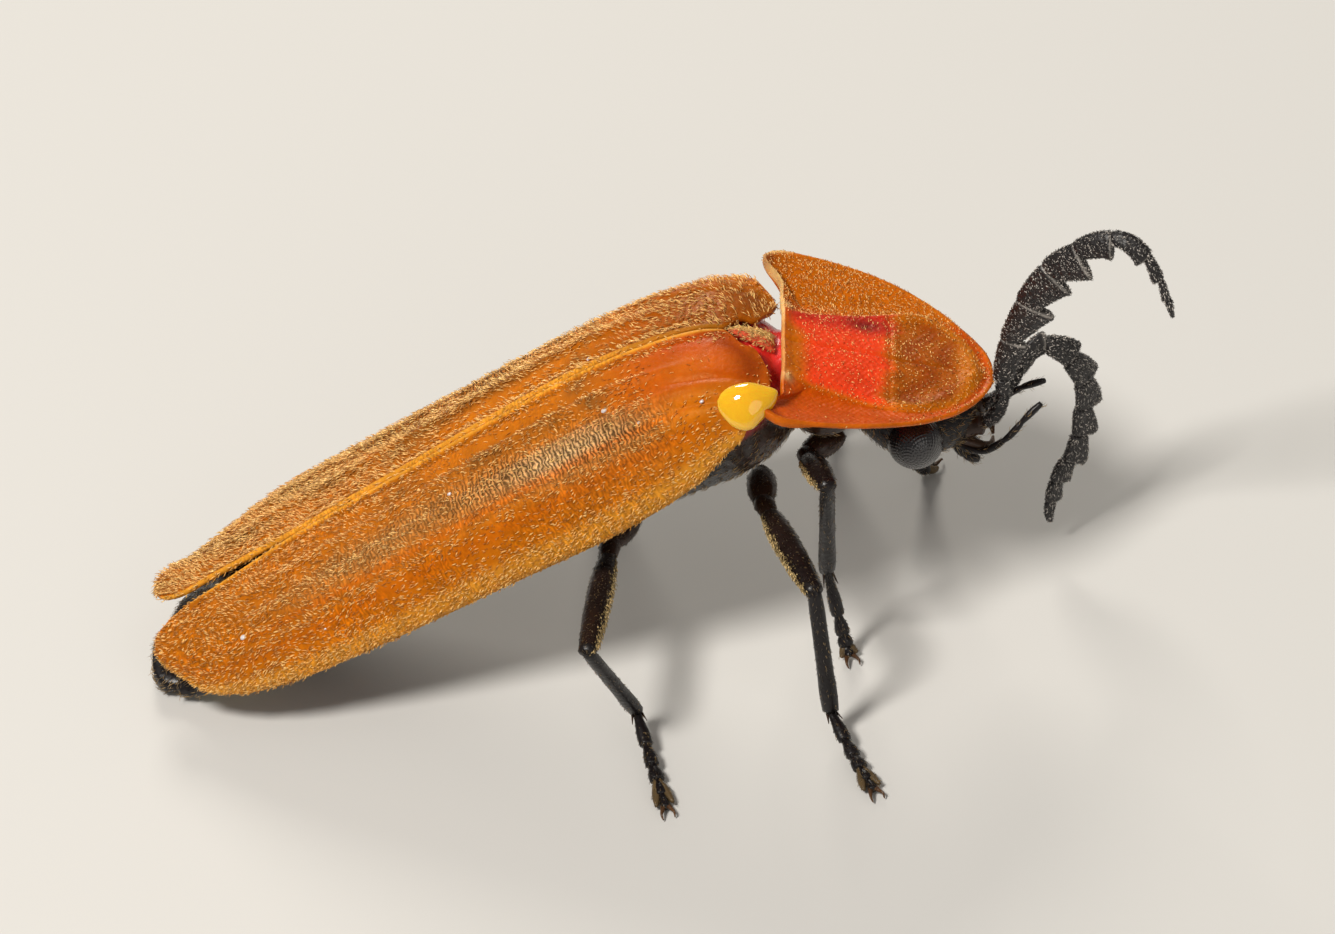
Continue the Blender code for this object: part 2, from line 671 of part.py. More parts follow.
# Paths of the feelers from the base out
ANTENNA_RIGHT = ((4.0, -0.28, -2.78), (4.4, -0.26, -2.76), (4.74, -0.18, -2.3), (4.78, -0.1, -1.6),
                 (4.85, -0.06, -1.0), (5.06, -0.12, -0.3), (5.40, -0.3, 0.53), (5.92, -0.5, 1.35),
                 (6.6, -0.7, 1.95), (7.28, -0.9, 2.33), (7.82, -1.1, 2.22), (8.1, -1.2, 1.68),
                 (8.23, -1.3, 1.1), (8.29, -1.35, 0.45))
ANTENNA_LEFT = ((4.0, 0.28, -2.78), (4.4, 0.40, -2.70), (4.78, 0.6, -2.3), (5.12, 0.66, -1.92),
                (5.43, 0.75, -1.86), (5.67, 0.85, -2.17), (5.86, 0.9, -2.63), (5.93, 0.95, -3.05),
                (5.93, 0.95, -3.49), (5.8, 0.9, -3.95), (5.7, 0.8, -4.35), (5.5, 0.65, -4.75),
                (5.2, 0.5, -5.1), (5.0, 0.4, -5.5), (4.87, 0.35, -5.9), (4.82, 0.3, -6.2))


def make_drop():
    """The bead of yellow fluid that a disturbed firefly lets out at its shoulder."""
    normal = unit(DROP_NORMAL)
    side = unit(np.cross(normal, (1.0, 0.0, 0.0)))
    other = np.cross(normal, side)
    rings = []
    for height, share in ((-0.62, 0.62), (-0.45, 0.90), (-0.1, 1.0), (0.35, 0.92), (0.68, 0.70), (0.88, 0.40),
                          (0.95, 0.12)):
        radius = DROP_RADIUS * share
        rings.append(oval(DROP_CENTRE + normal * DROP_RADIUS * height, side, other, radius, radius, 16))
    item = mesh_object("humeral_drop", *loft(rings))
    return finish(item, (0.95, 0.62, 0.02), 0.12)


remove_everything()
make_pronotum()
make_prosternum()
make_head()
make_eye(-1.0, "eye_right")
make_eye(1.0, "eye_left")
make_antenna("antenna_right", ANTENNA_RIGHT, (0.11, -0.73, 0.67), -1.0)
make_antenna("antenna_left", ANTENNA_LEFT, (0.76, -0.65, 0.2), 1.0)
make_thorax()
make_elytron(-1.0, "elytron_right")
make_elytron(1.0, "elytron_left")
make_abdomen_length("abdomen", (-4.6, -5.8, -7.1, -8.4, -9.6, -10.7), (0.05, 0.04, 0.035), 0.55)
make_abdomen_length("lantern", (-11.0, -11.75, -12.45), (0.72, 0.68, 0.45), 0.5)
make_abdomen_length("abdomen_tip", (-12.75, -13.02, -13.3), (0.05, 0.04, 0.035), 0.55, rounded=True)
for leg_name, leg_joints in LEG_JOINTS.items():
    make_leg(leg_name, leg_joints)
make_drop()
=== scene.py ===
"""Looks of the firefly: thin shells, skin, hair, head, feelers, legs and the photograph's view.

Lengths are millimetres from the scutellum, the small plate between the wing cases, until a piece
is built. X runs forward to the head, Y to the insect's left and Z up, as in the frame.
"""
import math

import bpy
import numpy as np
from mathutils import Matrix


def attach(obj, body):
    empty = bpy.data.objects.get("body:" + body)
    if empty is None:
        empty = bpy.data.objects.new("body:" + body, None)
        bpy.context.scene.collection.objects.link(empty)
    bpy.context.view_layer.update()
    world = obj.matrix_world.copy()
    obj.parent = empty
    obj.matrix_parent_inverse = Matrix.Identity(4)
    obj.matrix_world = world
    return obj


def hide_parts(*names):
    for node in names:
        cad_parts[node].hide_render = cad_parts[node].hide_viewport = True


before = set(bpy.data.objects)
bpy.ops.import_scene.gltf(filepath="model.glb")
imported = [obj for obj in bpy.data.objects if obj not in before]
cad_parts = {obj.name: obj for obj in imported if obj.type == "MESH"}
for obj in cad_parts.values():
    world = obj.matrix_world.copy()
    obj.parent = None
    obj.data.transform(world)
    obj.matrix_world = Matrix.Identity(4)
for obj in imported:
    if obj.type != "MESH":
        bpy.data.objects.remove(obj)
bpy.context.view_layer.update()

# Sizes shared with the solids
METRES = 0.001
SCUTELLUM = np.array((2.50, 0.0, 6.90))
FLOOR = -SCUTELLUM[2]

ELYTRON_LENGTH = 14.50
ELYTRON_START = 0.0
ELYTRON_PITCH = math.radians(23.0)
ELYTRON_HALF_WIDTH = 2.45
ELYTRON_TIP_SIDE = 0.85
SUTURE_HALF_GAP = 0.012
SUTURE_HEIGHTS = ((0.0, -0.12), (0.12, 0.05), (0.3, 0.32), (0.5, 0.53), (0.8, 0.74), (1.4, 0.94), (2.3, 1.07),
                  (3.2, 1.12), (4.3, 1.09), (5.6, 0.98), (8.0, 0.72), (10.8, 0.42), (13.0, 0.15), (14.5, 0.0))
MARGIN_HEIGHTS = ((0.0, -0.30), (0.5, -0.36), (1.1, -0.48), (1.8, -0.68), (2.5, -0.84), (3.6, -0.98),
                  (7.0, -0.98), (10.5, -0.98), (12.0, -0.95), (13.0, -0.87), (13.8, -0.68), (14.2, -0.46),
                  (14.5, -0.12))
ARCH_ANGLE = math.radians(80.0)
COSTA_PLACES = (0.36, 0.60, 0.82)
COSTA_HEIGHT = 0.07
SHELL_THICKNESS = 0.13
SMUDGES = ((3.75, 0.30, 0.40), (3.4, 0.35, 1.0), (4.4, 0.40, 0.95), (6.1, 0.90, 0.95), (8.2, 0.6, 0.6))

PRONOTUM_LENGTH = 4.50
PRONOTUM_HALF_WIDTH = 2.52
PRONOTUM_PITCH = math.radians(-22.0)
PRONOTUM_BASE = np.array((0.146, 0.0, -0.24))
PRONOTUM_CENTRE = 1.70
DISC_HALF_WIDTH = 1.25
MARGIN_LIFT = 0.28

RIGHT_ARTICLES = (0.85, 0.35, 1.05, 1.25, 1.25, 0.95, 0.90, 0.85, 0.60, 0.50, 0.45)
RIGHT_TEETH = (0.15, 0.14, 0.42, 0.72, 0.72, 0.70, 0.46, 0.30, 0.19, 0.12, 0.08)
LEFT_ARTICLES = (0.85, 0.35, 1.00, 0.90, 0.85, 0.80, 0.75, 0.70, 0.62, 0.58, 0.60)
LEFT_TEETH = (0.15, 0.14, 0.34, 0.46, 0.54, 0.56, 0.54, 0.50, 0.40, 0.30, 0.14)
ANTENNA_RIGHT = ((4.0, -0.28, -2.78), (4.24, -0.26, -2.64), (4.46, -0.18, -2.25), (4.55, -0.1, -1.7),
                 (4.72, -0.06, -1.05), (5.03, -0.12, -0.3), (5.40, -0.3, 0.53), (5.92, -0.5, 1.35),
                 (6.6, -0.7, 1.95), (7.28, -0.9, 2.33), (7.82, -1.1, 2.22), (8.1, -1.2, 1.68),
                 (8.23, -1.3, 1.1), (8.29, -1.35, 0.45))
ANTENNA_LEFT = ((4.0, 0.28, -2.78), (4.4, 0.40, -2.70), (4.78, 0.6, -2.3), (5.12, 0.66, -1.92),
                (5.43, 0.75, -1.86), (5.67, 0.85, -2.17), (5.86, 0.9, -2.63), (5.93, 0.95, -3.05),
                (5.93, 0.95, -3.49), (5.8, 0.9, -3.95), (5.7, 0.8, -4.35), (5.5, 0.65, -4.75),
                (5.2, 0.5, -5.1), (5.0, 0.4, -5.5), (4.87, 0.35, -5.9), (4.82, 0.3, -6.2))

TOE_HEIGHT = FLOOR + 0.13
LEG_JOINTS = {
    "leg_front_right": ((1.0, -0.45, -2.55), (0.45, -0.85, -2.55), (0.97, -2.68, -1.80),
                        (0.50, -1.85, -4.85), (0.66, -2.35, TOE_HEIGHT)),
    "leg_front_left": ((1.0, 0.45, -2.55), (0.50, 0.85, -2.55), (1.75, 2.85, -2.05),
                       (1.95, 2.15, -5.0), (2.35, 3.0, TOE_HEIGHT)),
    "leg_mid_right": ((-0.62, -0.42, -3.42), (-0.57, -1.2, -3.40), (0.46, -4.0, -3.4),
                      (0.33, -4.37, -6.35), (1.12, -6.34, TOE_HEIGHT)),
    "leg_mid_left": ((-0.62, 0.42, -3.42), (-0.57, 1.2, -3.40), (0.36, 4.0, -3.3),
                     (0.2, 4.2, -6.3), (0.75, 6.15, TOE_HEIGHT)),
    "leg_hind_right": ((-3.4, -0.45, -4.12), (-3.77, -1.2, -4.05), (-4.19, -4.62, -3.75),
                       (-3.61, -3.74, -6.3), (-3.08, -6.16, TOE_HEIGHT)),
    "leg_hind_left": ((-3.4, 0.45, -4.12), (-3.77, 1.2, -4.05), (-4.45, 4.55, -3.75),
                      (-4.35, 3.75, -6.3), (-4.6, 6.1, TOE_HEIGHT)),
}

EYE_CENTRE = np.array((2.65, 0.0, -2.50))
DROP_CENTRE = np.array((-0.35, -2.11, 0.10))
DROP_HEIGHT = 0.27
DROP_DEPTH = 0.30
DROP_OUTLINE = ((-0.60, 0.08), (-0.51, 0.25), (-0.32, 0.38), (0.00, 0.46), (0.32, 0.40), (0.59, 0.30),
                (0.60, 0.14), (0.53, -0.04), (0.43, -0.17), (0.27, -0.34), (0.12, -0.48), (-0.06, -0.52),
                (-0.28, -0.44), (-0.45, -0.28), (-0.57, -0.10))
DEW = ((3.19, -1.29, 0.055), (3.40, -0.06, 0.035), (3.87, 2.40, 0.050), (3.47, 0.25, 0.035),
       (12.38, -1.80, 0.060), (12.14, -1.49, 0.045), (10.79, -1.59, 0.035), (10.58, -2.34, 0.030),
       (7.01, -1.32, 0.040), (5.09, -2.40, 0.030), (2.55, -1.75, 0.030), (1.14, -1.83, 0.040))

# Photograph: 1335 by 934 pixels, 0.02 mm each, the scutellum at its own pixel
PHOTO_SIZE = np.array((1335.0, 934.0))
PIXEL = 0.02
SCUTELLUM_PIXEL = np.array((765.0, 335.0))
CAMERA_RIGHT = np.array((0.9877, 0.0, -0.1564))
CAMERA_UP = np.array((0.1147, 0.6800, 0.7240))
CAMERA_BACK = np.array((0.1064, -0.7330, 0.6716))
CAMERA_DISTANCE = 640.0
SENSOR = 36.0

# Linear colours
ORANGE = np.array((0.54, 0.145, 0.003))
AMBER = np.array((0.34, 0.095, 0.003))
DEEP_ORANGE = np.array((0.50, 0.056, 0.001))
PALE_ORANGE = np.array((0.62, 0.190, 0.010))
TROUGH_ORANGE = np.array((0.56, 0.115, 0.001))
# Smoky tone of the wing cases' middle band: partly its own darker colour, partly painted sheen
SMOKY_TONE_AND_SHEEN = np.array((0.35, 0.160, 0.045))
# Brown of the smudges on the wing cases, also used as painted shade on the far wing case
SMUDGE_AND_SHADE_BROWN = np.array((0.22, 0.075, 0.012))
# Painted sheen: the bright silvery gold of lit ripple crests
SILK_SHEEN = np.array((0.56, 0.36, 0.17))
EDGE_GOLD = np.array((0.78, 0.33, 0.03))
DISC_RED = np.array((0.78, 0.050, 0.010))
# Painted shade: crimson for the far side of the shield's disc
DISC_SHADE_CRIMSON = np.array((0.46, 0.016, 0.010))
SPOT_RED = np.array((0.16, 0.008, 0.008))
WINDOW_BROWN = np.array((0.27, 0.042, 0.003))
# Painted shade: darker orange for the shield's flange
FLANGE_SHADE_ORANGE = np.array((0.52, 0.070, 0.001))
PALE_RIM = np.array((0.78, 0.50, 0.20))
GOLD_HAIR = np.array((0.95, 0.62, 0.22))
MEMBRANE_PINK = np.array((0.66, 0.026, 0.020))
# Gold of the scutellum: partly its own colour, partly painted light on its lit slope
SCUTELLUM_LIT_GOLD = np.array((0.62, 0.34, 0.11))
BLACK_SHELL = np.array((0.007, 0.005, 0.0055))
BROWN_SHELL = np.array((0.034, 0.015, 0.008))
PLEURA_TAN = np.array((0.16, 0.11, 0.06))
BRONZE_HAIR = np.array((0.34, 0.22, 0.09))
ROW_HAIR = np.array((0.62, 0.46, 0.22))
GREY_HAIR = np.array((0.11, 0.10, 0.09))
LANTERN_PALE = np.array((0.66, 0.60, 0.36))
CLAW_AMBER = np.array((0.10, 0.045, 0.016))
# Painted glint: near white for the clear dew beads
DEW_GLINT_WHITE = np.array((0.92, 0.88, 0.90))
DROP_YELLOW = np.array((0.86, 0.46, 0.004))

UP = np.array((0.0, 0.0, 1.0))
SIDE = np.array((0.0, 1.0, 0.0))
FORWARD = np.array((1.0, 0.0, 0.0))


# Small mathematics

def smooth(value):
    """Ease from 0 to 1 as the value goes from 0 to 1."""
    value = np.clip(value, 0.0, 1.0)
    return value * value * (3.0 - 2.0 * value)


def hump(value, centre, width):
    """A bell round a centre, 1 high."""
    return np.exp(-((value - centre) / width) ** 2)


def unit(vectors):
    """Vectors at length one."""
    vectors = np.asarray(vectors, dtype=float)
    return vectors / np.maximum(np.linalg.norm(vectors, axis=-1, keepdims=True), 1e-9)


def curve(stations, place):
    """A smooth curve through (place, size) stations in rising order."""
    places, sizes = np.array(stations, dtype=float).T
    slopes = np.gradient(sizes, places)
    index = np.clip(np.searchsorted(places, place) - 1, 0, len(places) - 2)
    step = places[index + 1] - places[index]
    t = np.clip((place - places[index]) / step, 0.0, 1.0)
    rise = t * t * (3.0 - 2.0 * t)
    value = sizes[index] * (1.0 - rise) + sizes[index + 1] * rise
    value += step * slopes[index] * t * (1.0 - t) ** 2
    return value - step * slopes[index + 1] * t * t * (1.0 - t)


def mix(first, second, share):
    """Blend of two colours, or arrays of them, by an array of shares."""
    share = np.clip(np.asarray(share, dtype=float), 0.0, 1.0)[..., None]
    return first * (1.0 - share) + second * share


def pitched(angle):
    """Forward and upward directions of a body plate pitched nose up by the angle."""
    forward = np.array((math.cos(angle), 0.0, math.sin(angle)))
    upward = np.array((-math.sin(angle), 0.0, math.cos(angle)))
    return forward, upward


def smooth_path(points, count):
    """Points evenly spaced along a Catmull-Rom curve through the given points."""
    points = np.array(points, dtype=float)
    ends = np.vstack((2 * points[0] - points[1], points, 2 * points[-1] - points[-2]))
    t = np.linspace(0.0, 1.0, 13)[:-1, None]
    fine = []
    for before, start, end, after in zip(ends[:-3], ends[1:-2], ends[2:-1], ends[3:]):
        line = 2 * start + (end - before) * t + (2 * before - 5 * start + 4 * end - after) * t ** 2
        fine.append(0.5 * (line + (3 * start - before - 3 * end + after) * t ** 3))
    fine = np.vstack(fine + [points[-1:]])
    lengths = np.concatenate(([0.0], np.cumsum(np.linalg.norm(np.diff(fine, axis=0), axis=1))))
    even = np.linspace(0.0, lengths[-1], count)
    return np.column_stack([np.interp(even, lengths, fine[:, axis]) for axis in range(fine.shape[1])])


ELYTRON_FORWARD, ELYTRON_UP = pitched(ELYTRON_PITCH)
PRONOTUM_FORWARD, PRONOTUM_UP = pitched(PRONOTUM_PITCH)


# Skins: points, triangles and what is painted on each point

def grid_triangles(rows, columns, closed=False):
    """Triangles of a grid of points; a closed one joins its last column to its first."""
    index = np.arange(rows * columns).reshape(rows, columns)
    after = np.roll(index, -1, axis=1) if closed else index[:, 1:]
    before = index if closed else index[:, :-1]
    a, b = before[:-1], after[:-1]
    d, c = before[1:], after[1:]
    first = np.stack((a, b, c), axis=-1).reshape(-1, 3)
    second = np.stack((a, c, d), axis=-1).reshape(-1, 3)
    return np.vstack((first, second))


def point_normals(points, triangles):
    """Area-weighted normals at the points."""
    corners = points[triangles]
    across = np.cross(corners[:, 1] - corners[:, 0], corners[:, 2] - corners[:, 0])
    normals = np.zeros_like(points)
    for corner in range(3):
        np.add.at(normals, triangles[:, corner], across)
    return unit(normals)


def grid_normals(points):
    """Normals of an open grid of points, from its rows and columns."""
    down = np.gradient(points, axis=0)
    across = np.gradient(points, axis=1)
    return unit(np.cross(across, down))


def skin_of(points, triangles, uv, lie, paint, hair):
    """One skin; paint and hair may be given once for all points."""
    count = len(points)
    return {
        "points": np.asarray(points, dtype=float),
        "triangles": np.asarray(triangles, dtype=np.int64),
        "uv": np.asarray(uv, dtype=float),
        "lie": np.broadcast_to(lie, (count, 3)).copy(),
        "paint": np.broadcast_to(paint, (count, 3)).copy(),
        "hair": np.broadcast_to(hair, (count,)).astype(float),
        "sheen": np.zeros(count),
    }


def joined(skins):
    """Several skins as one."""
    offsets = np.cumsum([0] + [len(skin["points"]) for skin in skins[:-1]])
    whole = {key: np.concatenate([skin[key] for skin in skins]) for key in skins[0] if key != "triangles"}
    whole["triangles"] = np.concatenate([skin["triangles"] + offset for skin, offset in zip(skins, offsets)])
    return whole


def plate(middle, thickness, uv, lie, paint, hair, sheen=0.0):
    """A closed plate from a grid of its middle surface: two faces that meet at the rim, hair on the upper."""
    rows, columns = middle.shape[:2]
    normals = grid_normals(middle)
    normals = normals * np.sign(np.sum(normals @ UP))
    half = 0.5 * thickness[..., None] * normals
    upper = middle + half
    lower = middle - half
    count = rows * columns
    top = grid_triangles(rows, columns)
    under = np.arange(count).reshape(rows, columns) + count
    rim = np.arange(count).reshape(rows, columns)
    under[0], under[-1], under[:, 0], under[:, -1] = rim[0], rim[-1], rim[:, 0], rim[:, -1]
    bottom = under.reshape(-1)[top][:, ::-1]
    points = np.vstack((upper.reshape(-1, 3), lower.reshape(-1, 3)))
    triangles = np.vstack((top, bottom))
    corners = points[triangles]
    sides = np.cross(corners[:, 1] - corners[:, 0], corners[:, 2] - corners[:, 0])
    triangles = triangles[np.linalg.norm(sides, axis=1) > 1e-9]
    used, compact = np.unique(triangles, return_inverse=True)
    both = [np.concatenate((value.reshape(count, -1), value.reshape(count, -1))) for value in (uv, lie, paint)]
    hair = np.concatenate((hair.reshape(-1), np.zeros(count)))
    skin = skin_of(points[used], compact.reshape(-1, 3), both[0][used], both[1][used], both[2][used], hair[used])
    sheen = np.broadcast_to(sheen, (rows, columns)).reshape(-1)
    skin["sheen"] = np.concatenate((sheen, sheen))[used]
    return facing_out(skin)


def facing_out(skin):
    """The same closed skin with its faces turned outward."""
    corners = skin["points"][skin["triangles"]]
    volume = np.sum(corners[:, 0] * np.cross(corners[:, 1], corners[:, 2]))
    if volume < 0.0:
        skin["triangles"] = skin["triangles"][:, ::-1].copy()
    return skin


def tube(rings, uv_corner, uv_size, paint, hair, lie=None):
    """A closed tube through rings of equal count, with a point at each end."""
    rings = np.asarray(rings, dtype=float)
    rows, columns = rings.shape[:2]
    points = np.vstack((rings.reshape(-1, 3), rings[0].mean(axis=0), rings[-1].mean(axis=0)))
    first, last = rows * columns, rows * columns + 1
    step = np.arange(columns)
    after = np.roll(step, -1)
    near = np.column_stack((np.full(columns, first), after, step))
    base = (rows - 1) * columns
    far = np.column_stack((np.full(columns, last), base + step, base + after))
    triangles = np.vstack((grid_triangles(rows, columns, closed=True), near, far))
    u, v = np.meshgrid(np.linspace(0.0, 1.0, rows), np.linspace(0.0, 1.0, columns), indexing="ij")
    uv = np.column_stack((u.reshape(-1), v.reshape(-1)))
    uv = np.vstack((uv, (0.0, 0.5), (1.0, 0.5))) * uv_size + uv_corner
    along = np.gradient(rings.mean(axis=1), axis=0)
    spread = np.repeat(unit(along), columns, axis=0)
    spread = np.vstack((spread, spread[:1], spread[-1:]))
    if lie is not None:
        spread = np.broadcast_to(lie, spread.shape)
    if np.ndim(paint) == 2:
        paint = np.repeat(paint, columns, axis=0)
        paint = np.vstack((paint, paint[:1], paint[-1:]))
    if np.ndim(hair) == 1:
        hair = np.repeat(hair, columns)
    if np.ndim(hair) == 2:
        hair = hair.reshape(-1)
    if np.ndim(hair) > 0:
        hair = np.concatenate((hair, hair[:1], hair[-1:]))
    return facing_out(skin_of(points, triangles, uv, spread, paint, hair))


def oval(centre, side, upward, half_side, half_up, count, power=2.0):
    """A ring of points on a superellipse in the plane of the two directions."""
    angle = 2.0 * math.pi * (np.arange(count) + 0.5) / count
    across = np.copysign(np.abs(np.cos(angle)) ** (2.0 / power), np.cos(angle))
    above = np.copysign(np.abs(np.sin(angle)) ** (2.0 / power), np.sin(angle))
    return centre + np.outer(across * half_side, side) + np.outer(above * half_up, upward)


def build(name, skin, shader, nodes=()):
    """The Blender object of a skin, in metres, riding on the body in place of the named nodes."""
    mesh = bpy.data.meshes.new(name)
    points = (skin["points"] + SCUTELLUM) * METRES
    triangles = skin["triangles"]
    mesh.vertices.add(len(points))
    mesh.vertices.foreach_set("co", points.reshape(-1))
    mesh.loops.add(triangles.size)
    mesh.loops.foreach_set("vertex_index", triangles.reshape(-1).astype(np.int32))
    mesh.polygons.add(len(triangles))
    mesh.polygons.foreach_set("loop_start", np.arange(0, triangles.size, 3, dtype=np.int32))
    mesh.update(calc_edges=True)
    mesh.shade_smooth()
    colours = mesh.attributes.new("Paint", "FLOAT_COLOR", "POINT")
    colours.data.foreach_set("color", np.column_stack((skin["paint"], skin["sheen"])).reshape(-1))
    mesh.materials.append(shader)
    item = bpy.data.objects.new(name, mesh)
    bpy.context.scene.collection.objects.link(item)
    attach(item, "root")
    if nodes:
        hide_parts(*nodes)
    return item


# Hair

HAIR_TRIANGLES = np.array(((0, 2, 1), (0, 1, 4), (0, 4, 3), (1, 2, 5), (1, 5, 4), (2, 0, 3), (2, 3, 5),
                           (3, 4, 6), (4, 5, 6), (5, 3, 6)))
HAIR_PATCH = 0.0015
HAIRS_PER_PIECE = 19000


def coat(name, skin, shader, seed, per_area, length, width, rise, stray, tint=GOLD_HAIR, tint_share=0.8,
         spread=(0.55, 2.0), hue_share=0.0):
    """Solid tapered hairs rooted all over a skin, as many to the square millimetre as its hair value says.

    Most hairs are dim and a few bright, between the two ends of spread: the hairs' own tone varies, and the brightest
    ones are painted glints. The dim ones take their hue from the skin by hue_share.
    """
    rng = np.random.default_rng(seed)
    triangles = skin["triangles"]
    corners = skin["points"][triangles]
    sides = np.cross(corners[:, 1] - corners[:, 0], corners[:, 2] - corners[:, 0])
    weight = 0.5 * np.linalg.norm(sides, axis=1) * skin["hair"][triangles].mean(axis=1)
    count = int(per_area * weight.sum())
    chosen = rng.choice(len(triangles), size=count, p=weight / weight.sum())
    share = rng.dirichlet((1.0, 1.0, 1.0), count)
    normals = point_normals(skin["points"], triangles)

    def at_root(values):
        return np.einsum("ij,ijk->ik", share, values[triangles[chosen]])

    root = at_root(skin["points"])
    upward = unit(at_root(normals))
    lie = at_root(skin["lie"])
    lie = unit(lie - upward * np.sum(lie * upward, axis=1, keepdims=True))
    side = np.cross(upward, lie)
    turn = rng.normal(0.0, stray, count)[:, None]
    lie = lie * np.cos(turn) + side * np.sin(turn)
    side = np.cross(upward, lie)
    long = (length * rng.uniform(0.65, 1.25, count))[:, None]
    # Brightness of each hair: its own tone varies, and the brightest ones are painted glints
    bright = rng.uniform(0.0, 1.0, count) ** 2.5
    wide = (width * rng.uniform(0.8, 1.2, count) * (1.0 + 0.35 * bright))[:, None]
    lift = (rise * rng.uniform(0.4, 1.6, count))[:, None]
    bend = rng.normal(0.0, 0.07, count)[:, None]
    base = root - upward * 0.6 * wide
    middle = root + long * (0.5 * lie + 0.5 * lift * upward + 0.5 * bend * side)
    tip = root + long * (lie + (0.75 * lift - 0.02) * upward + bend * side)
    section = ((0.5, 0.0), (-0.5, 0.0), (0.0, 0.7))
    points = [base + wide * (across * side + above * upward) for across, above in section]
    points += [middle + 0.85 * wide * (across * side + above * upward) for across, above in section]
    points = np.stack(points + [tip], axis=1)
    points[..., 2] = np.maximum(points[..., 2], FLOOR + 0.004)
    paint = mix(at_root(skin["paint"]), tint, tint_share * (1.0 - hue_share * (1.0 - bright)))
    low, high = spread
    factor = low + (high - low) * bright
    paint = paint * np.minimum(factor, 0.95 / paint.max(axis=1))[:, None]
    angles = np.linspace(0.0, 2.0 * math.pi, 7, endpoint=False)
    patch = HAIR_PATCH * np.column_stack((np.cos(angles), np.sin(angles)))
    uv = np.clip(at_root(skin["uv"]), 2 * HAIR_PATCH, 1.0 - 2 * HAIR_PATCH)[:, None, :] + patch[None]
    pieces = max(1, math.ceil(count / HAIRS_PER_PIECE))
    for number in range(pieces):
        part = slice(number, None, pieces)
        some = len(points[part])
        faces = (HAIR_TRIANGLES[None] + 7 * np.arange(some)[:, None, None]).reshape(-1, 3)
        tufts = skin_of(points[part].reshape(-1, 3), faces, uv[part].reshape(-1, 2), UP,
                        np.repeat(paint[part], 7, axis=0), 0.0)
        item = build(f"{name}_{number + 1}", tufts, shader)
        bake = item.data.uv_layers.new(name="OFBake")
        bake.data.foreach_set("uv", tufts["uv"][faces.reshape(-1)].reshape(-1))


# Materials

RIPPLES_PER_METRE = 3500.0


def new_material(name, roughness, **sockets):
    """A Principled material whose colour starts from the paint on the points."""
    made = bpy.data.materials.new(name)
    made.use_nodes = True
    tree = made.node_tree
    shader = tree.nodes["Principled BSDF"]
    shader.inputs["Roughness"].default_value = roughness
    for socket, value in sockets.items():
        shader.inputs[socket.replace("_", " ")].default_value = value
    return made, tree, shader


def texture(tree, kind, scale, **values):
    """A texture node read at the object's own place, in cells to the metre."""
    place = tree.nodes.new("ShaderNodeTexCoord")
    node = tree.nodes.new(kind)
    node.inputs["Scale"].default_value = scale
    for socket, value in values.items():
        node.inputs[socket].default_value = value
    tree.links.new(place.outputs["Object"], node.inputs["Vector"])
    return node


def ranged(tree, socket, low, high, from_low=0.3, from_high=0.7):
    """A value brought from one range to another."""
    node = tree.nodes.new("ShaderNodeMapRange")
    node.inputs["From Min"].default_value = from_low
    node.inputs["From Max"].default_value = from_high
    node.inputs["To Min"].default_value = low
    node.inputs["To Max"].default_value = high
    tree.links.new(socket, node.inputs["Value"])
    return node.outputs["Result"]


def painted(tree, shader, layers):
    """The points' paint, darkened and lightened by (value socket, contrast) layers, as the base colour."""
    paint = tree.nodes.new("ShaderNodeAttribute")
    paint.attribute_name = "Paint"
    colour = paint.outputs["Color"]
    for socket, contrast in layers:
        scaled = tree.nodes.new("ShaderNodeVectorMath")
        scaled.operation = "SCALE"
        tree.links.new(colour, scaled.inputs[0])
        tree.links.new(ranged(tree, socket, 1.0 - contrast, 1.0 + contrast), scaled.inputs["Scale"])
        colour = scaled.outputs["Vector"]
    tree.links.new(colour, shader.inputs["Base Color"])


def bumped(tree, shader, layers):
    """Bump from (height socket, depth in metres) layers, laid one on another."""
    under = None
    for socket, depth in layers:
        node = tree.nodes.new("ShaderNodeBump")
        node.inputs["Strength"].default_value = 1.0
        node.inputs["Distance"].default_value = depth
        tree.links.new(socket, node.inputs["Height"])
        if under is not None:
            tree.links.new(under, node.inputs["Normal"])
        under = node.outputs["Normal"]
    tree.links.new(under, shader.inputs["Normal"])


def shell_material(name, roughness, grain, grain_depth, contrast, **sockets):
    """Insect shell: fine cells and pores in bump, uneven gloss, paint from the points."""
    made, tree, shader = new_material(name, roughness, **sockets)
    fine = texture(tree, "ShaderNodeTexNoise", grain, Detail=4.0)
    broad = texture(tree, "ShaderNodeTexNoise", grain * 0.16, Detail=3.0)
    cells = texture(tree, "ShaderNodeTexVoronoi", grain * 0.7)
    painted(tree, shader, ((broad.outputs["Fac"], contrast),))
    tree.links.new(ranged(tree, fine.outputs["Fac"], roughness - 0.08, roughness + 0.12),
                   shader.inputs["Roughness"])
    bumped(tree, shader, ((cells.outputs["Distance"], grain_depth), (fine.outputs["Fac"], grain_depth * 0.8)))
    return made


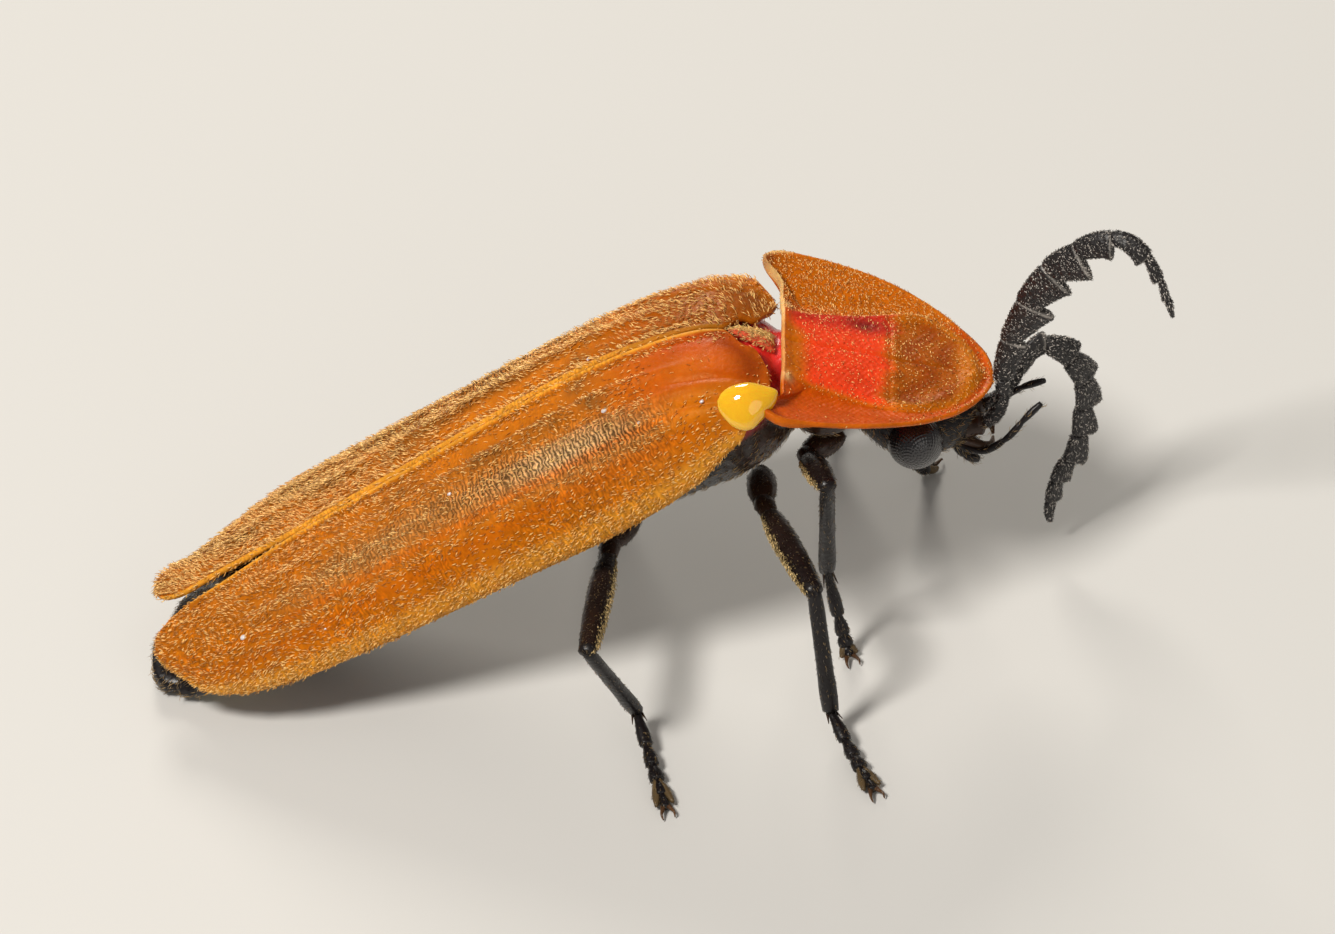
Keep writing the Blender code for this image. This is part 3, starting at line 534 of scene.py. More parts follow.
def wing_case_material():
    """Wing-case shell: transverse ripples where it is smoky, with their crests painted lighter and troughs darker as
    painted highlight and shade, fine grain, pores and a thin gloss over orange.
    """
    made, tree, shader = new_material("wing_case_shell", 0.40, Subsurface_Weight=0.10, Subsurface_Scale=0.0006,
                                      Subsurface_Radius=(0.5, 0.15, 0.03), Specular_IOR_Level=0.18,
                                      Specular_Tint=(1.0, 0.62, 0.25, 1.0))
    place = tree.nodes.new("ShaderNodeTexCoord")
    turned = tree.nodes.new("ShaderNodeMapping")
    turned.inputs["Rotation"].default_value = (0.0, ELYTRON_PITCH, 0.0)
    tree.links.new(place.outputs["Object"], turned.inputs["Vector"])
    ripples = tree.nodes.new("ShaderNodeTexWave")
    ripples.inputs["Scale"].default_value = RIPPLES_PER_METRE
    ripples.inputs["Distortion"].default_value = 7.5
    ripples.inputs["Detail"].default_value = 2.0
    ripples.inputs["Detail Scale"].default_value = 2.0
    tree.links.new(turned.outputs["Vector"], ripples.inputs["Vector"])
    sheen = tree.nodes.new("ShaderNodeAttribute")
    sheen.attribute_name = "Paint"
    swing = ranged(tree, ripples.outputs["Fac"], -0.22, 0.22, 0.0, 1.0)
    masked = tree.nodes.new("ShaderNodeMath")
    masked.operation = "MULTIPLY_ADD"
    tree.links.new(swing, masked.inputs[0])
    tree.links.new(sheen.outputs["Alpha"], masked.inputs[1])
    masked.inputs[2].default_value = 0.5
    pores = texture(tree, "ShaderNodeTexNoise", 15000.0, Detail=3.0)
    grain = texture(tree, "ShaderNodeTexNoise", 9000.0, Detail=2.0)
    grainy = tree.nodes.new("ShaderNodeMath")
    grainy.operation = "MULTIPLY_ADD"
    tree.links.new(ranged(tree, grain.outputs["Fac"], -0.2, 0.2), grainy.inputs[0])
    tree.links.new(ranged(tree, sheen.outputs["Alpha"], 0.2, 1.0, 0.0, 0.2), grainy.inputs[1])
    grainy.inputs[2].default_value = 0.5
    broad = texture(tree, "ShaderNodeTexNoise", 1300.0, Detail=4.0)
    # Colour layers: broad tone, grain, and the ripples' painted highlight on crests and painted shade in troughs
    painted(tree, shader, ((broad.outputs["Fac"], 0.16), (grainy.outputs["Value"], 0.32),
                           (masked.outputs["Value"], 0.72)))
    tree.links.new(ranged(tree, pores.outputs["Fac"], 0.30, 0.52), shader.inputs["Roughness"])
    bumped(tree, shader, ((masked.outputs["Value"], 0.00005), (grain.outputs["Fac"], 0.000012),
                          (pores.outputs["Fac"], 0.000006)))
    return made


def hair_material(name, roughness, **sockets):
    """Hair: the paint given to each one, with fine streaks of light and dark."""
    made, tree, shader = new_material(name, roughness, **sockets)
    streaks = texture(tree, "ShaderNodeTexNoise", 20000.0, Detail=2.0)
    painted(tree, shader, ((streaks.outputs["Fac"], 0.12),))
    return made


WING_CASE = wing_case_material()
SHIELD = shell_material("shield_shell", 0.38, 15000.0, 0.00001, 0.14, Subsurface_Weight=0.15,
                        Subsurface_Scale=0.0006, Subsurface_Radius=(0.5, 0.08, 0.02), Specular_IOR_Level=0.25,
                        Specular_Tint=(1.0, 0.62, 0.25, 1.0))
BLACK = shell_material("black_shell", 0.34, 14000.0, 0.000008, 0.25, Specular_IOR_Level=0.24, Coat_Weight=0.15,
                       Coat_Roughness=0.2)
FEELER = shell_material("feeler_shell", 0.42, 12000.0, 0.000016, 0.3)
LANTERN = shell_material("lantern_skin", 0.42, 9000.0, 0.000006, 0.10, Subsurface_Weight=0.4,
                         Subsurface_Scale=0.001, Subsurface_Radius=(0.4, 0.3, 0.15))
MEMBRANE = shell_material("membrane", 0.30, 6000.0, 0.00004, 0.40, Subsurface_Weight=0.2,
                          Subsurface_Scale=0.0005, Subsurface_Radius=(0.4, 0.08, 0.04), Specular_IOR_Level=0.3,
                          Coat_Weight=0.3, Coat_Roughness=0.15)
EYE = shell_material("eye", 0.12, 5000.0, 0.000001, 0.2, Coat_Weight=0.6, Coat_Roughness=0.08)
FLUID = shell_material("fluid", 0.05, 900.0, 0.0000005, 0.06, Subsurface_Weight=0.5, Subsurface_Scale=0.001,
                       Subsurface_Radius=(0.5, 0.3, 0.05), Coat_Weight=1.0, Coat_Roughness=0.02)
DEW_FILM = shell_material("dew_film", 0.14, 900.0, 0.0000002, 0.02, Transmission_Weight=0.30, IOR=1.34,
                          Coat_Weight=1.0, Coat_Roughness=0.10)
GOLD = hair_material("gold_hair", 0.24, Specular_IOR_Level=0.9, Specular_Tint=(1.0, 0.72, 0.34, 1.0))
DARK_HAIR = hair_material("dark_hair", 0.28, Specular_IOR_Level=0.8)


# Wing cases

def elytron_full_width(along):
    """Half-width of the pair before the tips round off; the shoulder is a quarter of an ellipse."""
    corner = np.clip(1.0 - along / 0.8, 0.0, 1.0)
    shoulder = 1.10 * (1.0 - np.sqrt(1.0 - corner * corner)) + 0.08 * np.clip(1.0 - along / 2.6, 0.0, 1.0) ** 2
    return ELYTRON_HALF_WIDTH + 0.17 * smooth((along - 1.0) / 8.0) - shoulder


def elytron_outer(along):
    """Distance of the outer margin from the midline."""
    share = np.clip((along - 9.5) / (ELYTRON_LENGTH - 9.5), 0.0, 1.0)
    rounding = np.sqrt(1.0 - share ** 3.2)
    return ELYTRON_TIP_SIDE + (elytron_full_width(along) - ELYTRON_TIP_SIDE) * rounding


def elytron_inner(along):
    """Distance of the inner edge from the midline: notched at the scutellum, parting to the tips."""
    notch = 0.38 * (1.0 - smooth((along - 0.30) / 0.36)) + 0.72 * np.maximum(0.0, 1.0 - along / 0.22) ** 1.5
    edge = SUTURE_HALF_GAP + notch + 0.19 * smooth((along - 10.5) / 3.4)
    share = np.clip((along - 13.5) / (ELYTRON_LENGTH - 13.5), 0.0, 1.0)
    return edge + (ELYTRON_TIP_SIDE - edge) * (1.0 - np.sqrt(1.0 - share * share))


def arch_fall(share):
    """Share of the full fall reached at a share of the way from the suture to the margin."""
    sine = share ** 1.18 * math.sin(ARCH_ANGLE)
    return ((1.0 - np.sqrt(1.0 - sine * sine)) / (1.0 - math.cos(ARCH_ANGLE))) ** 1.29


def elytron_height(along, across):
    """Height of the wing case's outer face over the chord of the suture."""
    width = np.maximum(elytron_outer(along), ELYTRON_HALF_WIDTH - 0.5 * smooth((along - 10.0) / 3.5))
    share = np.minimum(across / width, 1.0)
    suture = curve(SUTURE_HEIGHTS, along)
    fall = (suture - curve(MARGIN_HEIGHTS, along)) * arch_fall(share)
    return suture - fall + 0.05 * hump(along, 1.1, 0.8) * hump(across, 1.65, 0.35)


def elytron_point(along, across, height):
    """Points in the wing cases' own frame, along measured back from the scutellum."""
    along, across, height = np.broadcast_arrays(along, across, height)
    return (-ELYTRON_FORWARD * along[..., None] + SIDE * across[..., None] + ELYTRON_UP * height[..., None])


def wing_case_sheen(along, share):
    """Where a wing case is smoky and rippled, with a painted sheen: a band along its middle."""
    centre = 0.57 + 0.16 * smooth((7.2 - along) / 5.2) + 0.03 * smooth((along - 8.0) / 3.0)
    band = hump(share, centre + 0.015 * np.sin(along * 2.9 + 1.0), 0.145)
    return band * smooth((along - 1.5) / 1.6) * smooth((12.8 - along) / 4.0)


def wing_case_paint(along, share, across):
    """Colour over a wing case: deep at the base, with a painted highlight on the shoulder dome and painted shade
    along its front fold, smoky with a painted sheen along the middle, pale at the edges.
    """
    paint = mix(ORANGE, DEEP_ORANGE, 0.9 * hump(along, 1.2, 1.6) * smooth((0.75 - share) / 0.25))
    # Painted highlight: the lit middle of the shoulder dome is paler
    paint = mix(paint, PALE_ORANGE * 0.90, 0.38 * hump(along, 1.35, 0.70) * hump(across, 1.0, 0.40))
    # Painted shade: darker along the fold at the wing case's front edge
    fold_shade = hump(along, 0.26 + 0.5 * smooth((0.9 - across) / 0.7), 0.20) * smooth((1.7 - across) / 0.5)
    paint = mix(paint, DEEP_ORANGE * 0.55, 0.65 * fold_shade)
    # Smoky middle band: partly darker pigment, partly painted sheen of the ripples
    paint = mix(paint, SMOKY_TONE_AND_SHEEN, 0.75 * wing_case_sheen(along, share))
    # Painted sheen: brighter silk in the middle of the smoky band
    paint = mix(paint, SILK_SHEEN,
                0.8 * wing_case_sheen(along, share) * hump(along, 4.3, 1.6) * hump(share, 0.67, 0.11))
    for place, size, aside in SMUDGES:
        paint = mix(paint, SMUDGE_AND_SHADE_BROWN, 0.75 * hump(along, place, size) * hump(across, aside, 0.22))
    for place in COSTA_PLACES:
        paint = mix(paint, AMBER, 0.5 * hump(share, place - 0.045, 0.022) * smooth((along - 2.0) / 2.0))
    for place in (0.74, 0.86):
        paint = mix(paint, TROUGH_ORANGE, 0.6 * hump(share, place, 0.030) * smooth((along - 0.6) / 1.0))
    paint = mix(paint, AMBER, 0.30 * smooth((along - 10.0) / 3.0))
    bead = smooth((0.045 - share) / 0.015) * smooth((along - 0.5) / 0.3)
    paint = mix(paint, AMBER, 0.6 * hump(share, 0.070, 0.020) * smooth((along - 1.0) / 1.0))
    return 0.94 * mix(paint, EDGE_GOLD, 0.8 * smooth((share - 0.94) / 0.04) + 0.9 * bead)


def make_wing_case(side, name):
    """One wing case and its coat."""
    rows, columns = 420, 90
    t = np.linspace(0.0, 1.0, rows)
    eased = 0.5 - 0.5 * np.cos(math.pi * t)
    along = ELYTRON_START + (ELYTRON_LENGTH - 0.002 - ELYTRON_START) * (0.45 * t + 0.55 * eased)
    s = np.linspace(0.0, 1.0, columns)
    share = 0.65 * s + 0.35 * (0.5 - 0.5 * np.cos(math.pi * s))
    along, share = np.meshgrid(along, share, indexing="ij")
    inner = elytron_inner(along)
    outer = elytron_outer(along)
    across = inner + (outer - inner) * share
    height = elytron_height(along, across)
    fade = smooth((along - 0.8) / 2.0) * (1.0 - smooth((along - 11.5) / 2.0))
    for place in COSTA_PLACES:
        height = height + COSTA_HEIGHT * fade * hump(share, place, 0.034)
    from_inner = across - inner
    from_outer = outer - across
    bead = smooth((along - 0.5) / 0.8) * (1.0 - smooth((along - 13.0) / 1.0))
    height = height + 0.035 * bead * hump(from_inner, 0.07, 0.05) + 0.035 * bead * hump(from_outer, 0.09, 0.06)
    height = height - 0.03 * bead * hump(from_inner, 0.26, 0.08) - 0.03 * bead * hump(from_outer, 0.26, 0.10)
    for place, depth in ((1.45, 0.07), (1.95, 0.06)):
        height = height - depth * hump(along, 1.1, 0.8) * hump(across, place - 0.12 * along, 0.09)
    grain = np.sin(along * 62.0 + 1.5 * np.sin(across * 9.0 + along * 1.7)) * np.sin(across * 23.0 + along * 3.1)
    height = height + 0.0035 * grain * smooth((along - 2.0) / 1.5)
    drawn_in = 1.0
    if side > 0.0:
        drawn_in = 1.0 - 0.08 * smooth((2.4 - along) / 1.8) - 0.10 * smooth((0.5 - along) / 0.5)
        drawn_in = drawn_in - 0.12 * smooth((along - 11.3) / 2.8)
        height = height - 0.30 * smooth(1.0 - along) * smooth((across - 0.6) / 1.2)
    middle = elytron_point(along, across * side * drawn_in, height - 0.5 * SHELL_THICKNESS)
    from_ends = np.minimum(along - along[:1], along[-1:] - along) + 0.0 * across
    edge = np.minimum(np.minimum(from_inner, from_outer), from_ends)
    rounding = np.clip(edge / 0.07, 0.0, 1.0)
    thickness = SHELL_THICKNESS * np.sqrt(1.0 - (1.0 - rounding) ** 2)
    unwrapped = np.stack((along / ELYTRON_LENGTH * 0.94 + 0.03, share * 0.9 + 0.05), axis=-1)
    swirl = 0.45 * np.sin(along * 2.3 + 2.0 * np.sin(across * 2.1)) + 0.25 * np.sin(along * 7.0 + across * 5.0)
    lie = -ELYTRON_FORWARD * np.cos(swirl)[..., None] + SIDE * (side * np.sin(swirl))[..., None]
    bare = 0.985 * smooth((2.7 - along) / 0.8) * smooth((1.85 - across) / 0.3) * smooth((across - 0.25) / 0.3)
    bare = bare * smooth((along - 0.10) / 0.15) * (1.0 if side < 0.0 else 0.35)
    smooth_band = hump(share, 0.22, 0.12) * smooth((along - 1.8) / 1.0) * smooth((9.5 - along) / 3.5)
    bare = np.maximum(bare, 0.85 * smooth_band)
    troughs = (hump(share, 0.74, 0.028) + hump(share, 0.86, 0.028)) * smooth((12.0 - along) / 3.0)
    bare = np.maximum(bare, 0.7 * troughs)
    bare = np.maximum(bare, 0.5 * hump(share, 0.86, 0.12) * smooth((9.0 - along) / 3.0))
    bare = np.maximum(bare, 0.8 * smooth((0.13 - from_inner) / 0.05) * smooth((along - 0.6) / 0.3))
    sheen_band = wing_case_sheen(along, share)
    bare = np.maximum(bare, 0.55 * sheen_band * smooth((9.5 - along) / 3.0))
    waves = 0.5 + 0.5 * np.sin(along * 44.0 + 2.2 * np.sin(across * 4.3 + along) + 1.3 * np.sin(across * 11.0))
    clumps = 0.5 + 0.5 * np.sin(across * 37.0 + 2.5 * np.sin(along * 6.0) + 1.5 * np.sin(along * 17.0))
    clumps = (0.10 + 0.90 * waves ** 1.6) * (0.35 + 0.65 * clumps)
    dense = 1.0 + 0.5 * smooth((along - 7.0) / 5.0) + 0.9 * smooth((0.25 - from_outer) / 0.15)
    dense = dense * (1.0 + 0.4 * (side > 0.0)) + 0.9 * hump(from_inner, 0.18, 0.06)
    for place in COSTA_PLACES:
        dense = dense + 2.0 * fade * hump(share, place, 0.014)
    hair = (1.0 - np.clip(bare, 0.0, 1.0)) * clumps * dense * (0.5 + 0.5 * smooth((along - 0.3) / 0.6))
    paint = wing_case_paint(along, share, across)
    # Painted shade: the far wing case is darker at its base and in patches over its far half
    if side > 0.0:
        paint = mix(paint, AMBER * 0.75, 0.7 * smooth((3.6 - along) / 2.0) * smooth((1.9 - across) / 0.6))
        patchy = 0.55 + 0.45 * np.sin(along * 2.6 + 2.0 * np.sin(across * 3.0))
        paint = mix(paint, SMUDGE_AND_SHADE_BROWN,
                    0.75 * patchy * smooth((across - 0.45) / 0.4) * smooth((along - 3.5) / 2.5))
    scattered = 0.5 + 0.5 * np.sin(along * 1.9 + 2.0 * np.sin(across * 2.6 + along * 0.8))
    # Ripple mask: drives the ripples' bump and their painted highlight and shade
    ripple = np.maximum(sheen_band * (1.0 - 0.45 * smooth((along - 6.0) / 2.0)),
                        0.26 * scattered * smooth((along - 1.8) / 1.5) * (1.0 - 0.7 * smooth_band))
    skin = plate(middle, thickness, unwrapped, lie, paint, hair, ripple)
    build(name, skin, WING_CASE, (name,))
    length, rise = (0.095, 0.40) if side < 0.0 else (0.125, 0.62)
    # The far wing case's hairs are painted brighter, as painted light on backlit hair
    spread, hue_share = ((0.82, 2.3), 0.88) if side < 0.0 else ((0.95, 3.0), 0.72)
    coat(f"{name}_hair", skin, GOLD, 11 if side < 0.0 else 12, 620.0, length, 0.021, rise, 0.35,
         GOLD_HAIR, 0.95, spread, hue_share)


# Shield over the head

def pronotum_outline(count):
    """The shield's outline as (along, across) places, once round, evenly spaced."""
    angle = np.linspace(0.0, math.pi, 400)
    along = PRONOTUM_LENGTH * np.sin(angle)
    across = PRONOTUM_HALF_WIDTH * np.copysign(np.abs(np.cos(angle)) ** 1.12, np.cos(angle))
    along = np.maximum(along, pronotum_rear(across))
    rear = np.linspace(-2.35, 2.35, 200)
    along = np.concatenate((along, pronotum_rear(rear)))
    across = np.concatenate((across, rear))
    for _ in range(6):
        along = 0.25 * (np.roll(along, 1) + 2 * along + np.roll(along, -1))
        across = 0.25 * (np.roll(across, 1) + 2 * across + np.roll(across, -1))
    closed = np.column_stack((np.append(along, along[0]), np.append(across, across[0])))
    lengths = np.concatenate(([0.0], np.cumsum(np.linalg.norm(np.diff(closed, axis=0), axis=1))))
    even = np.linspace(0.0, lengths[-1], count, endpoint=False)
    return np.interp(even, lengths, closed[:, 0]), np.interp(even, lengths, closed[:, 1])


def pronotum_rear(across):
    """Place of the shield's hind edge, bowed forward in the middle."""
    return 0.12 - 0.40 * smooth((np.abs(across) - 1.6) / 0.7)


def pronotum_height(along, across, share):
    """Height of the shield's upper face; share runs from its centre to its outline."""
    disc = 0.10 * np.maximum(0.0, 1.0 - (across / DISC_HALF_WIDTH) ** 2)
    sideways = np.abs(across) / PRONOTUM_HALF_WIDTH
    lift = MARGIN_LIFT * smooth((share - 0.55) / 0.45) * (0.25 + 0.75 * np.minimum(1.0, sideways * 1.3))
    rearward = smooth((1.6 - along) / 1.6) * (1.0 - np.minimum(1.0, sideways * 1.4))
    return disc + lift * (1.0 - rearward)


PLATEAU_BORDERS = ((-0.6, 0.92), (0.2, 0.96), (1.2, 1.14), (2.3, 1.38), (2.67, 1.44), (3.0, 1.41), (3.39, 1.27),
                   (3.7, 1.05), (3.94, 0.80), (4.12, 0.48), (4.3, 0.0), (4.6, -0.5))


def plateau_border(along):
    """Distance from the midline at which the shield's raised middle drops to its flange."""
    return curve(PLATEAU_BORDERS, along)


def pronotum_relief(along, across, share):
    """Finer forms of the shield: raised middle, sunk window, beaded rim, midline furrow."""
    inside = plateau_border(along) - np.abs(across)
    plateau = smooth((inside + 0.02) / (0.15 + 0.45 * smooth((along - 2.9) / 0.9)))
    ridge = smooth((along - 1.6) / 0.8) * smooth((3.8 - along) / 0.8)
    relief = 0.10 * plateau + 0.035 * hump(inside, 0.10, 0.09) * ridge
    relief = relief - 0.04 * hump(inside, -0.35, 0.30)
    window = smooth((inside - 0.10) / 0.45) * smooth((along - 2.35) / 0.3) * smooth((4.1 - along) / 0.4)
    relief = relief - 0.05 * window + 0.03 * hump(along, 3.1, 0.35) * hump(across, 0.0, 0.5)
    relief = relief - 0.035 * hump(across, 0.0, 0.05) * smooth((3.9 - along) / 0.6) * plateau
    relief = relief - 0.03 * hump(along, 2.36, 0.07) * plateau
    relief = relief + 0.05 * hump(along, 0.20, 0.10) * smooth((1.5 - np.abs(across)) / 0.3)
    knob = np.exp(-((along - 0.25) ** 2 + (np.abs(across) - 1.05) ** 2) / 0.01)
    spots = hump(along, 1.86, 0.22) * hump(np.abs(across), 0.86, 0.16)
    return relief + 0.035 * hump(share, 0.975, 0.02) + 0.06 * knob - 0.025 * spots


def shield_paint(along, across, share):
    """Colour over the shield: red disc with a dark spot each side and painted shade in crimson towards its far side,
    brown window, orange flange with painted shade on the near side.
    """
    inside = plateau_border(along) - np.abs(across)
    # Painted shade: the flange is darker, except towards the far side
    paint = mix(ORANGE, FLANGE_SHADE_ORANGE, smooth((0.1 - inside) / 0.2))
    paint = mix(paint, ORANGE, 0.7 * smooth((across - 1.1) / 0.3))
    start = 0.06 + 0.30 * smooth((0.65 - across) / 0.5)
    ragged = (along - 0.06 * across + 0.07 * np.sin(across * 5.0) + 0.05 * np.sin(across * 11.0 + 1.0)
              + 0.03 * np.sin(across * 27.0))
    disc = smooth((inside + 0.02) / 0.10) * smooth((2.62 - ragged) / 0.56) * smooth((along - start) / 0.45)
    paint = mix(paint, TROUGH_ORANGE, 0.8 * smooth((inside + 0.02) / 0.10) * smooth((0.7 - along) / 0.4))
    paint = mix(paint, DISC_RED, disc)
    # Painted shade: crimson towards the far side of the disc, where it slopes away
    paint = mix(paint, DISC_SHADE_CRIMSON, 0.75 * disc * smooth((across - 0.35) / 0.5))
    spot = hump(along, 1.86, 0.34) * (0.85 * hump(across, 0.86, 0.22) + 0.18 * hump(across, -0.86, 0.22))
    paint = mix(paint, SPOT_RED, spot)
    window = smooth((inside - 0.02) / 0.35) * smooth((ragged - 2.16) / 0.60) * smooth((4.05 - along) / 0.55)
    mottle = 0.85 + 0.15 * np.sin(along * 9.0 + 2.0 * np.sin(across * 5.0))
    paint = mix(paint, WINDOW_BROWN, 0.92 * window * mottle)
    edge = smooth((share - 0.955) / 0.03)
    rear = (smooth((0.40 - along) / 0.25) * smooth((across + 1.25) / 0.2)
            * (0.4 + 0.6 * smooth((across - 0.2) / 0.6)))
    paint = mix(mix(paint, PALE_ORANGE, 0.4 * edge), PALE_RIM, 0.9 * edge * rear)
    corner = hump(along, -0.15, 0.16) * hump(np.abs(across), 2.22, 0.16)
    paint = mix(paint, DEEP_ORANGE * 0.45, 0.8 * corner)
    knob = np.exp(-((along - 0.25) ** 2 + (np.abs(across) - 1.05) ** 2) / 0.012)
    return mix(paint, PALE_RIM, 0.9 * knob)


def make_shield():
    """The shield and its coat."""
    columns, rings = 420, 84
    outline_along, outline_across = pronotum_outline(columns)
    share = np.linspace(0.02, 1.0, rings)[:, None] ** 0.85
    along = PRONOTUM_CENTRE + (outline_along[None] - PRONOTUM_CENTRE) * share
    across = outline_across[None] * share
    share = share + 0.0 * across
    height = pronotum_height(along, across, share) + pronotum_relief(along, across, share)
    pits = np.sin(along * 41.0 + 2.0 * np.sin(across * 7.0)) * np.sin(across * 37.0 + 2.0 * np.sin(along * 6.0))
    height = height + 0.005 * pits
    top = (PRONOTUM_BASE + PRONOTUM_FORWARD * along[..., None] + SIDE * across[..., None]
           + PRONOTUM_UP * (height - 0.05)[..., None])
    rounding = np.clip((1.0 - share) / 0.035, 0.0, 1.0)
    wall = (0.13 + 0.12 * smooth((0.9 - along) / 0.6)) * np.sqrt(1.0 - (1.0 - rounding) ** 2)
    under = top - PRONOTUM_UP * wall[..., None]
    paint = shield_paint(along, across, share)
    uv = np.stack((0.1 + 0.8 * (along + 0.4) / 5.0, 0.5 + 0.8 * across / 5.2), axis=-1)
    count = rings * columns
    faces = grid_triangles(rings, columns, closed=True)
    step = np.arange(columns)
    cap = np.column_stack((np.full(columns, 2 * count), np.roll(step, -1), step))
    lower = np.arange(count).reshape(rings, columns) + count
    lower[-1] = np.arange(count).reshape(rings, columns)[-1]
    lower_faces = lower.reshape(-1)[faces][:, ::-1]
    lower_cap = np.column_stack((np.full(columns, 2 * count + 1), lower[0], lower[0][np.roll(step, -1)]))
    points = np.vstack((top.reshape(-1, 3), under.reshape(-1, 3), top[0].mean(axis=0), under[0].mean(axis=0)))
    triangles = np.vstack((faces, cap, lower_faces, lower_cap))
    inside = plateau_border(along) - np.abs(across)
    flange = smooth((0.05 - inside) / 0.2) * smooth((3.2 - along) / 0.8)
    disc = smooth(inside / 0.2) * smooth((2.35 - along) / 0.1)
    window = smooth((inside - 0.10) / 0.30) * smooth((along - 2.35) / 0.3) * smooth((4.1 - along) / 0.4)
    density = 0.8 + 0.9 * smooth((across - 1.0) / 0.4) - 0.77 * flange * (across < 0.0)
    density = density * (1.0 - 0.55 * disc - 0.40 * window) * (1.0 - 0.6 * smooth((share - 0.95) / 0.02))
    density = density * (1.0 - 0.5 * smooth((0.7 - along) / 0.2) * smooth(inside / 0.2))
    density = density * (0.3 + 0.7 * np.sin(along * 19.0 + 3.0 * np.sin(across * 5.0)) ** 2)
    swirl = 0.9 * np.sin(along * 3.0 + across * 2.0) + 0.8
    lie = -PRONOTUM_FORWARD * np.cos(swirl)[..., None] + SIDE * (np.sign(across) * np.sin(swirl))[..., None]
    uv, paint, lie = [np.vstack((value, value, value[:1], value[:1])) for value in
                      (uv.reshape(count, 2), paint.reshape(count, 3), lie.reshape(count, 3))]
    hair = np.concatenate((density.reshape(-1), np.zeros(count + 2)))
    used, compact = np.unique(triangles, return_inverse=True)
    skin = facing_out(skin_of(points[used], compact.reshape(-1, 3), uv[used], lie[used], paint[used], hair[used]))
    build("pronotum", skin, SHIELD, ("pronotum",))
    coat("pronotum_hair", skin, GOLD, 21, 600.0, 0.050, 0.020, 0.40, 0.6, GOLD_HAIR, 0.95, (0.75, 2.2),
         0.88)


# Trunk

def trunk_ring(x, half_width, top, bottom, count=64, power=2.4, lean=0.0):
    """An upright ring of the trunk."""
    centre = np.array((x, 0.0, 0.5 * (top + bottom)))
    ring = oval(centre, SIDE, UP, half_width, 0.5 * (top - bottom), count, power)
    ring[:, 0] += lean * (ring[:, 2] - centre[2])
    return ring


def under_wing_cases(x):
    """Height just under the wing cases over the middle of the trunk."""
    height = 0.0
    for _ in range(4):
        along = -(x - ELYTRON_UP[0] * height) / ELYTRON_FORWARD[0]
        height = float(curve(SUTURE_HEIGHTS, np.array(along))) - 0.30
    return float(elytron_point(np.array(along), np.array(0.0), np.array(height))[2])


THORAX_STATIONS = ((-4.35, 1.72), (-4.05, 1.85), (-3.4, 1.92), (-2.4, 1.9), (-1.4, 1.8), (-0.6, 1.6),
                   (-0.1, 1.3), (0.3, 0.95), (0.9, 0.85))
THORAX_BOTTOMS = ((-4.35, -3.42), (-4.05, -3.5), (-3.4, -3.42), (-2.4, -3.25), (-1.4, -3.0), (-0.6, -2.75),
                  (-0.1, -2.5), (0.3, -2.15), (0.9, -1.9))
ABDOMEN_WIDTHS = ((-13.5, 0.45), (-13.3, 0.80), (-13.0, 1.26), (-12.5, 1.56), (-12.0, 1.64), (-11.0, 1.72),
                  (-9.0, 1.82), (-7.0, 1.88), (-4.2, 1.85))
ABDOMEN_BOTTOMS = ((-13.5, -6.86), (-13.3, -6.89), (-12.75, -6.89), (-12.3, -6.72), (-11.5, -6.38),
                   (-10.0, -5.75), (-8.0, -4.95), (-6.0, -4.15), (-4.2, -3.5))


def make_thorax():
    """Middle and hind thorax with the soft skin in front of it."""
    rings = []
    paint = []
    for x in np.linspace(0.9, -4.35, 70):
        half_width = float(curve(THORAX_STATIONS, np.array(x)))
        bottom = float(curve(THORAX_BOTTOMS, np.array(x)))
        top = min(under_wing_cases(x), -0.10)
        if x > -0.05:
            top = min(top, -0.10 - 0.95 * (x + 0.05))
        if x > 0.22:
            top = -0.36 - 0.404 * (x - 0.22)
        rings.append(trunk_ring(x, half_width, top, bottom))
        paint.append(mix(BLACK_SHELL, BROWN_SHELL, np.array(smooth((x + 1.5) / 1.5))))
    rings = np.array(rings)
    groove = 1.0 - 0.02 * hump(rings[..., 0], -1.7, 0.06)[..., None] * np.array((0.0, 1.0, 0.5))
    centre = rings.mean(axis=1, keepdims=True)
    rings = centre + (rings - centre) * groove
    skin = tube(rings, (0.02, 0.02), (0.96, 0.96), np.array(paint), 1.0)
    upper = skin["points"][:, 2] - (-1.15 + 0.3 * skin["points"][:, 0])
    soft = smooth(upper / 0.35) * smooth((skin["points"][:, 0] + 1.1) / 0.5)
    skin["paint"] = mix(skin["paint"], MEMBRANE_PINK, soft)
    skin["hair"] = 1.0 - soft
    build("thorax", skin, MEMBRANE, ("thorax",))
    coat("thorax_hair", skin, DARK_HAIR, 31, 60.0, 0.16, 0.013, 0.3, 0.4, BRONZE_HAIR)


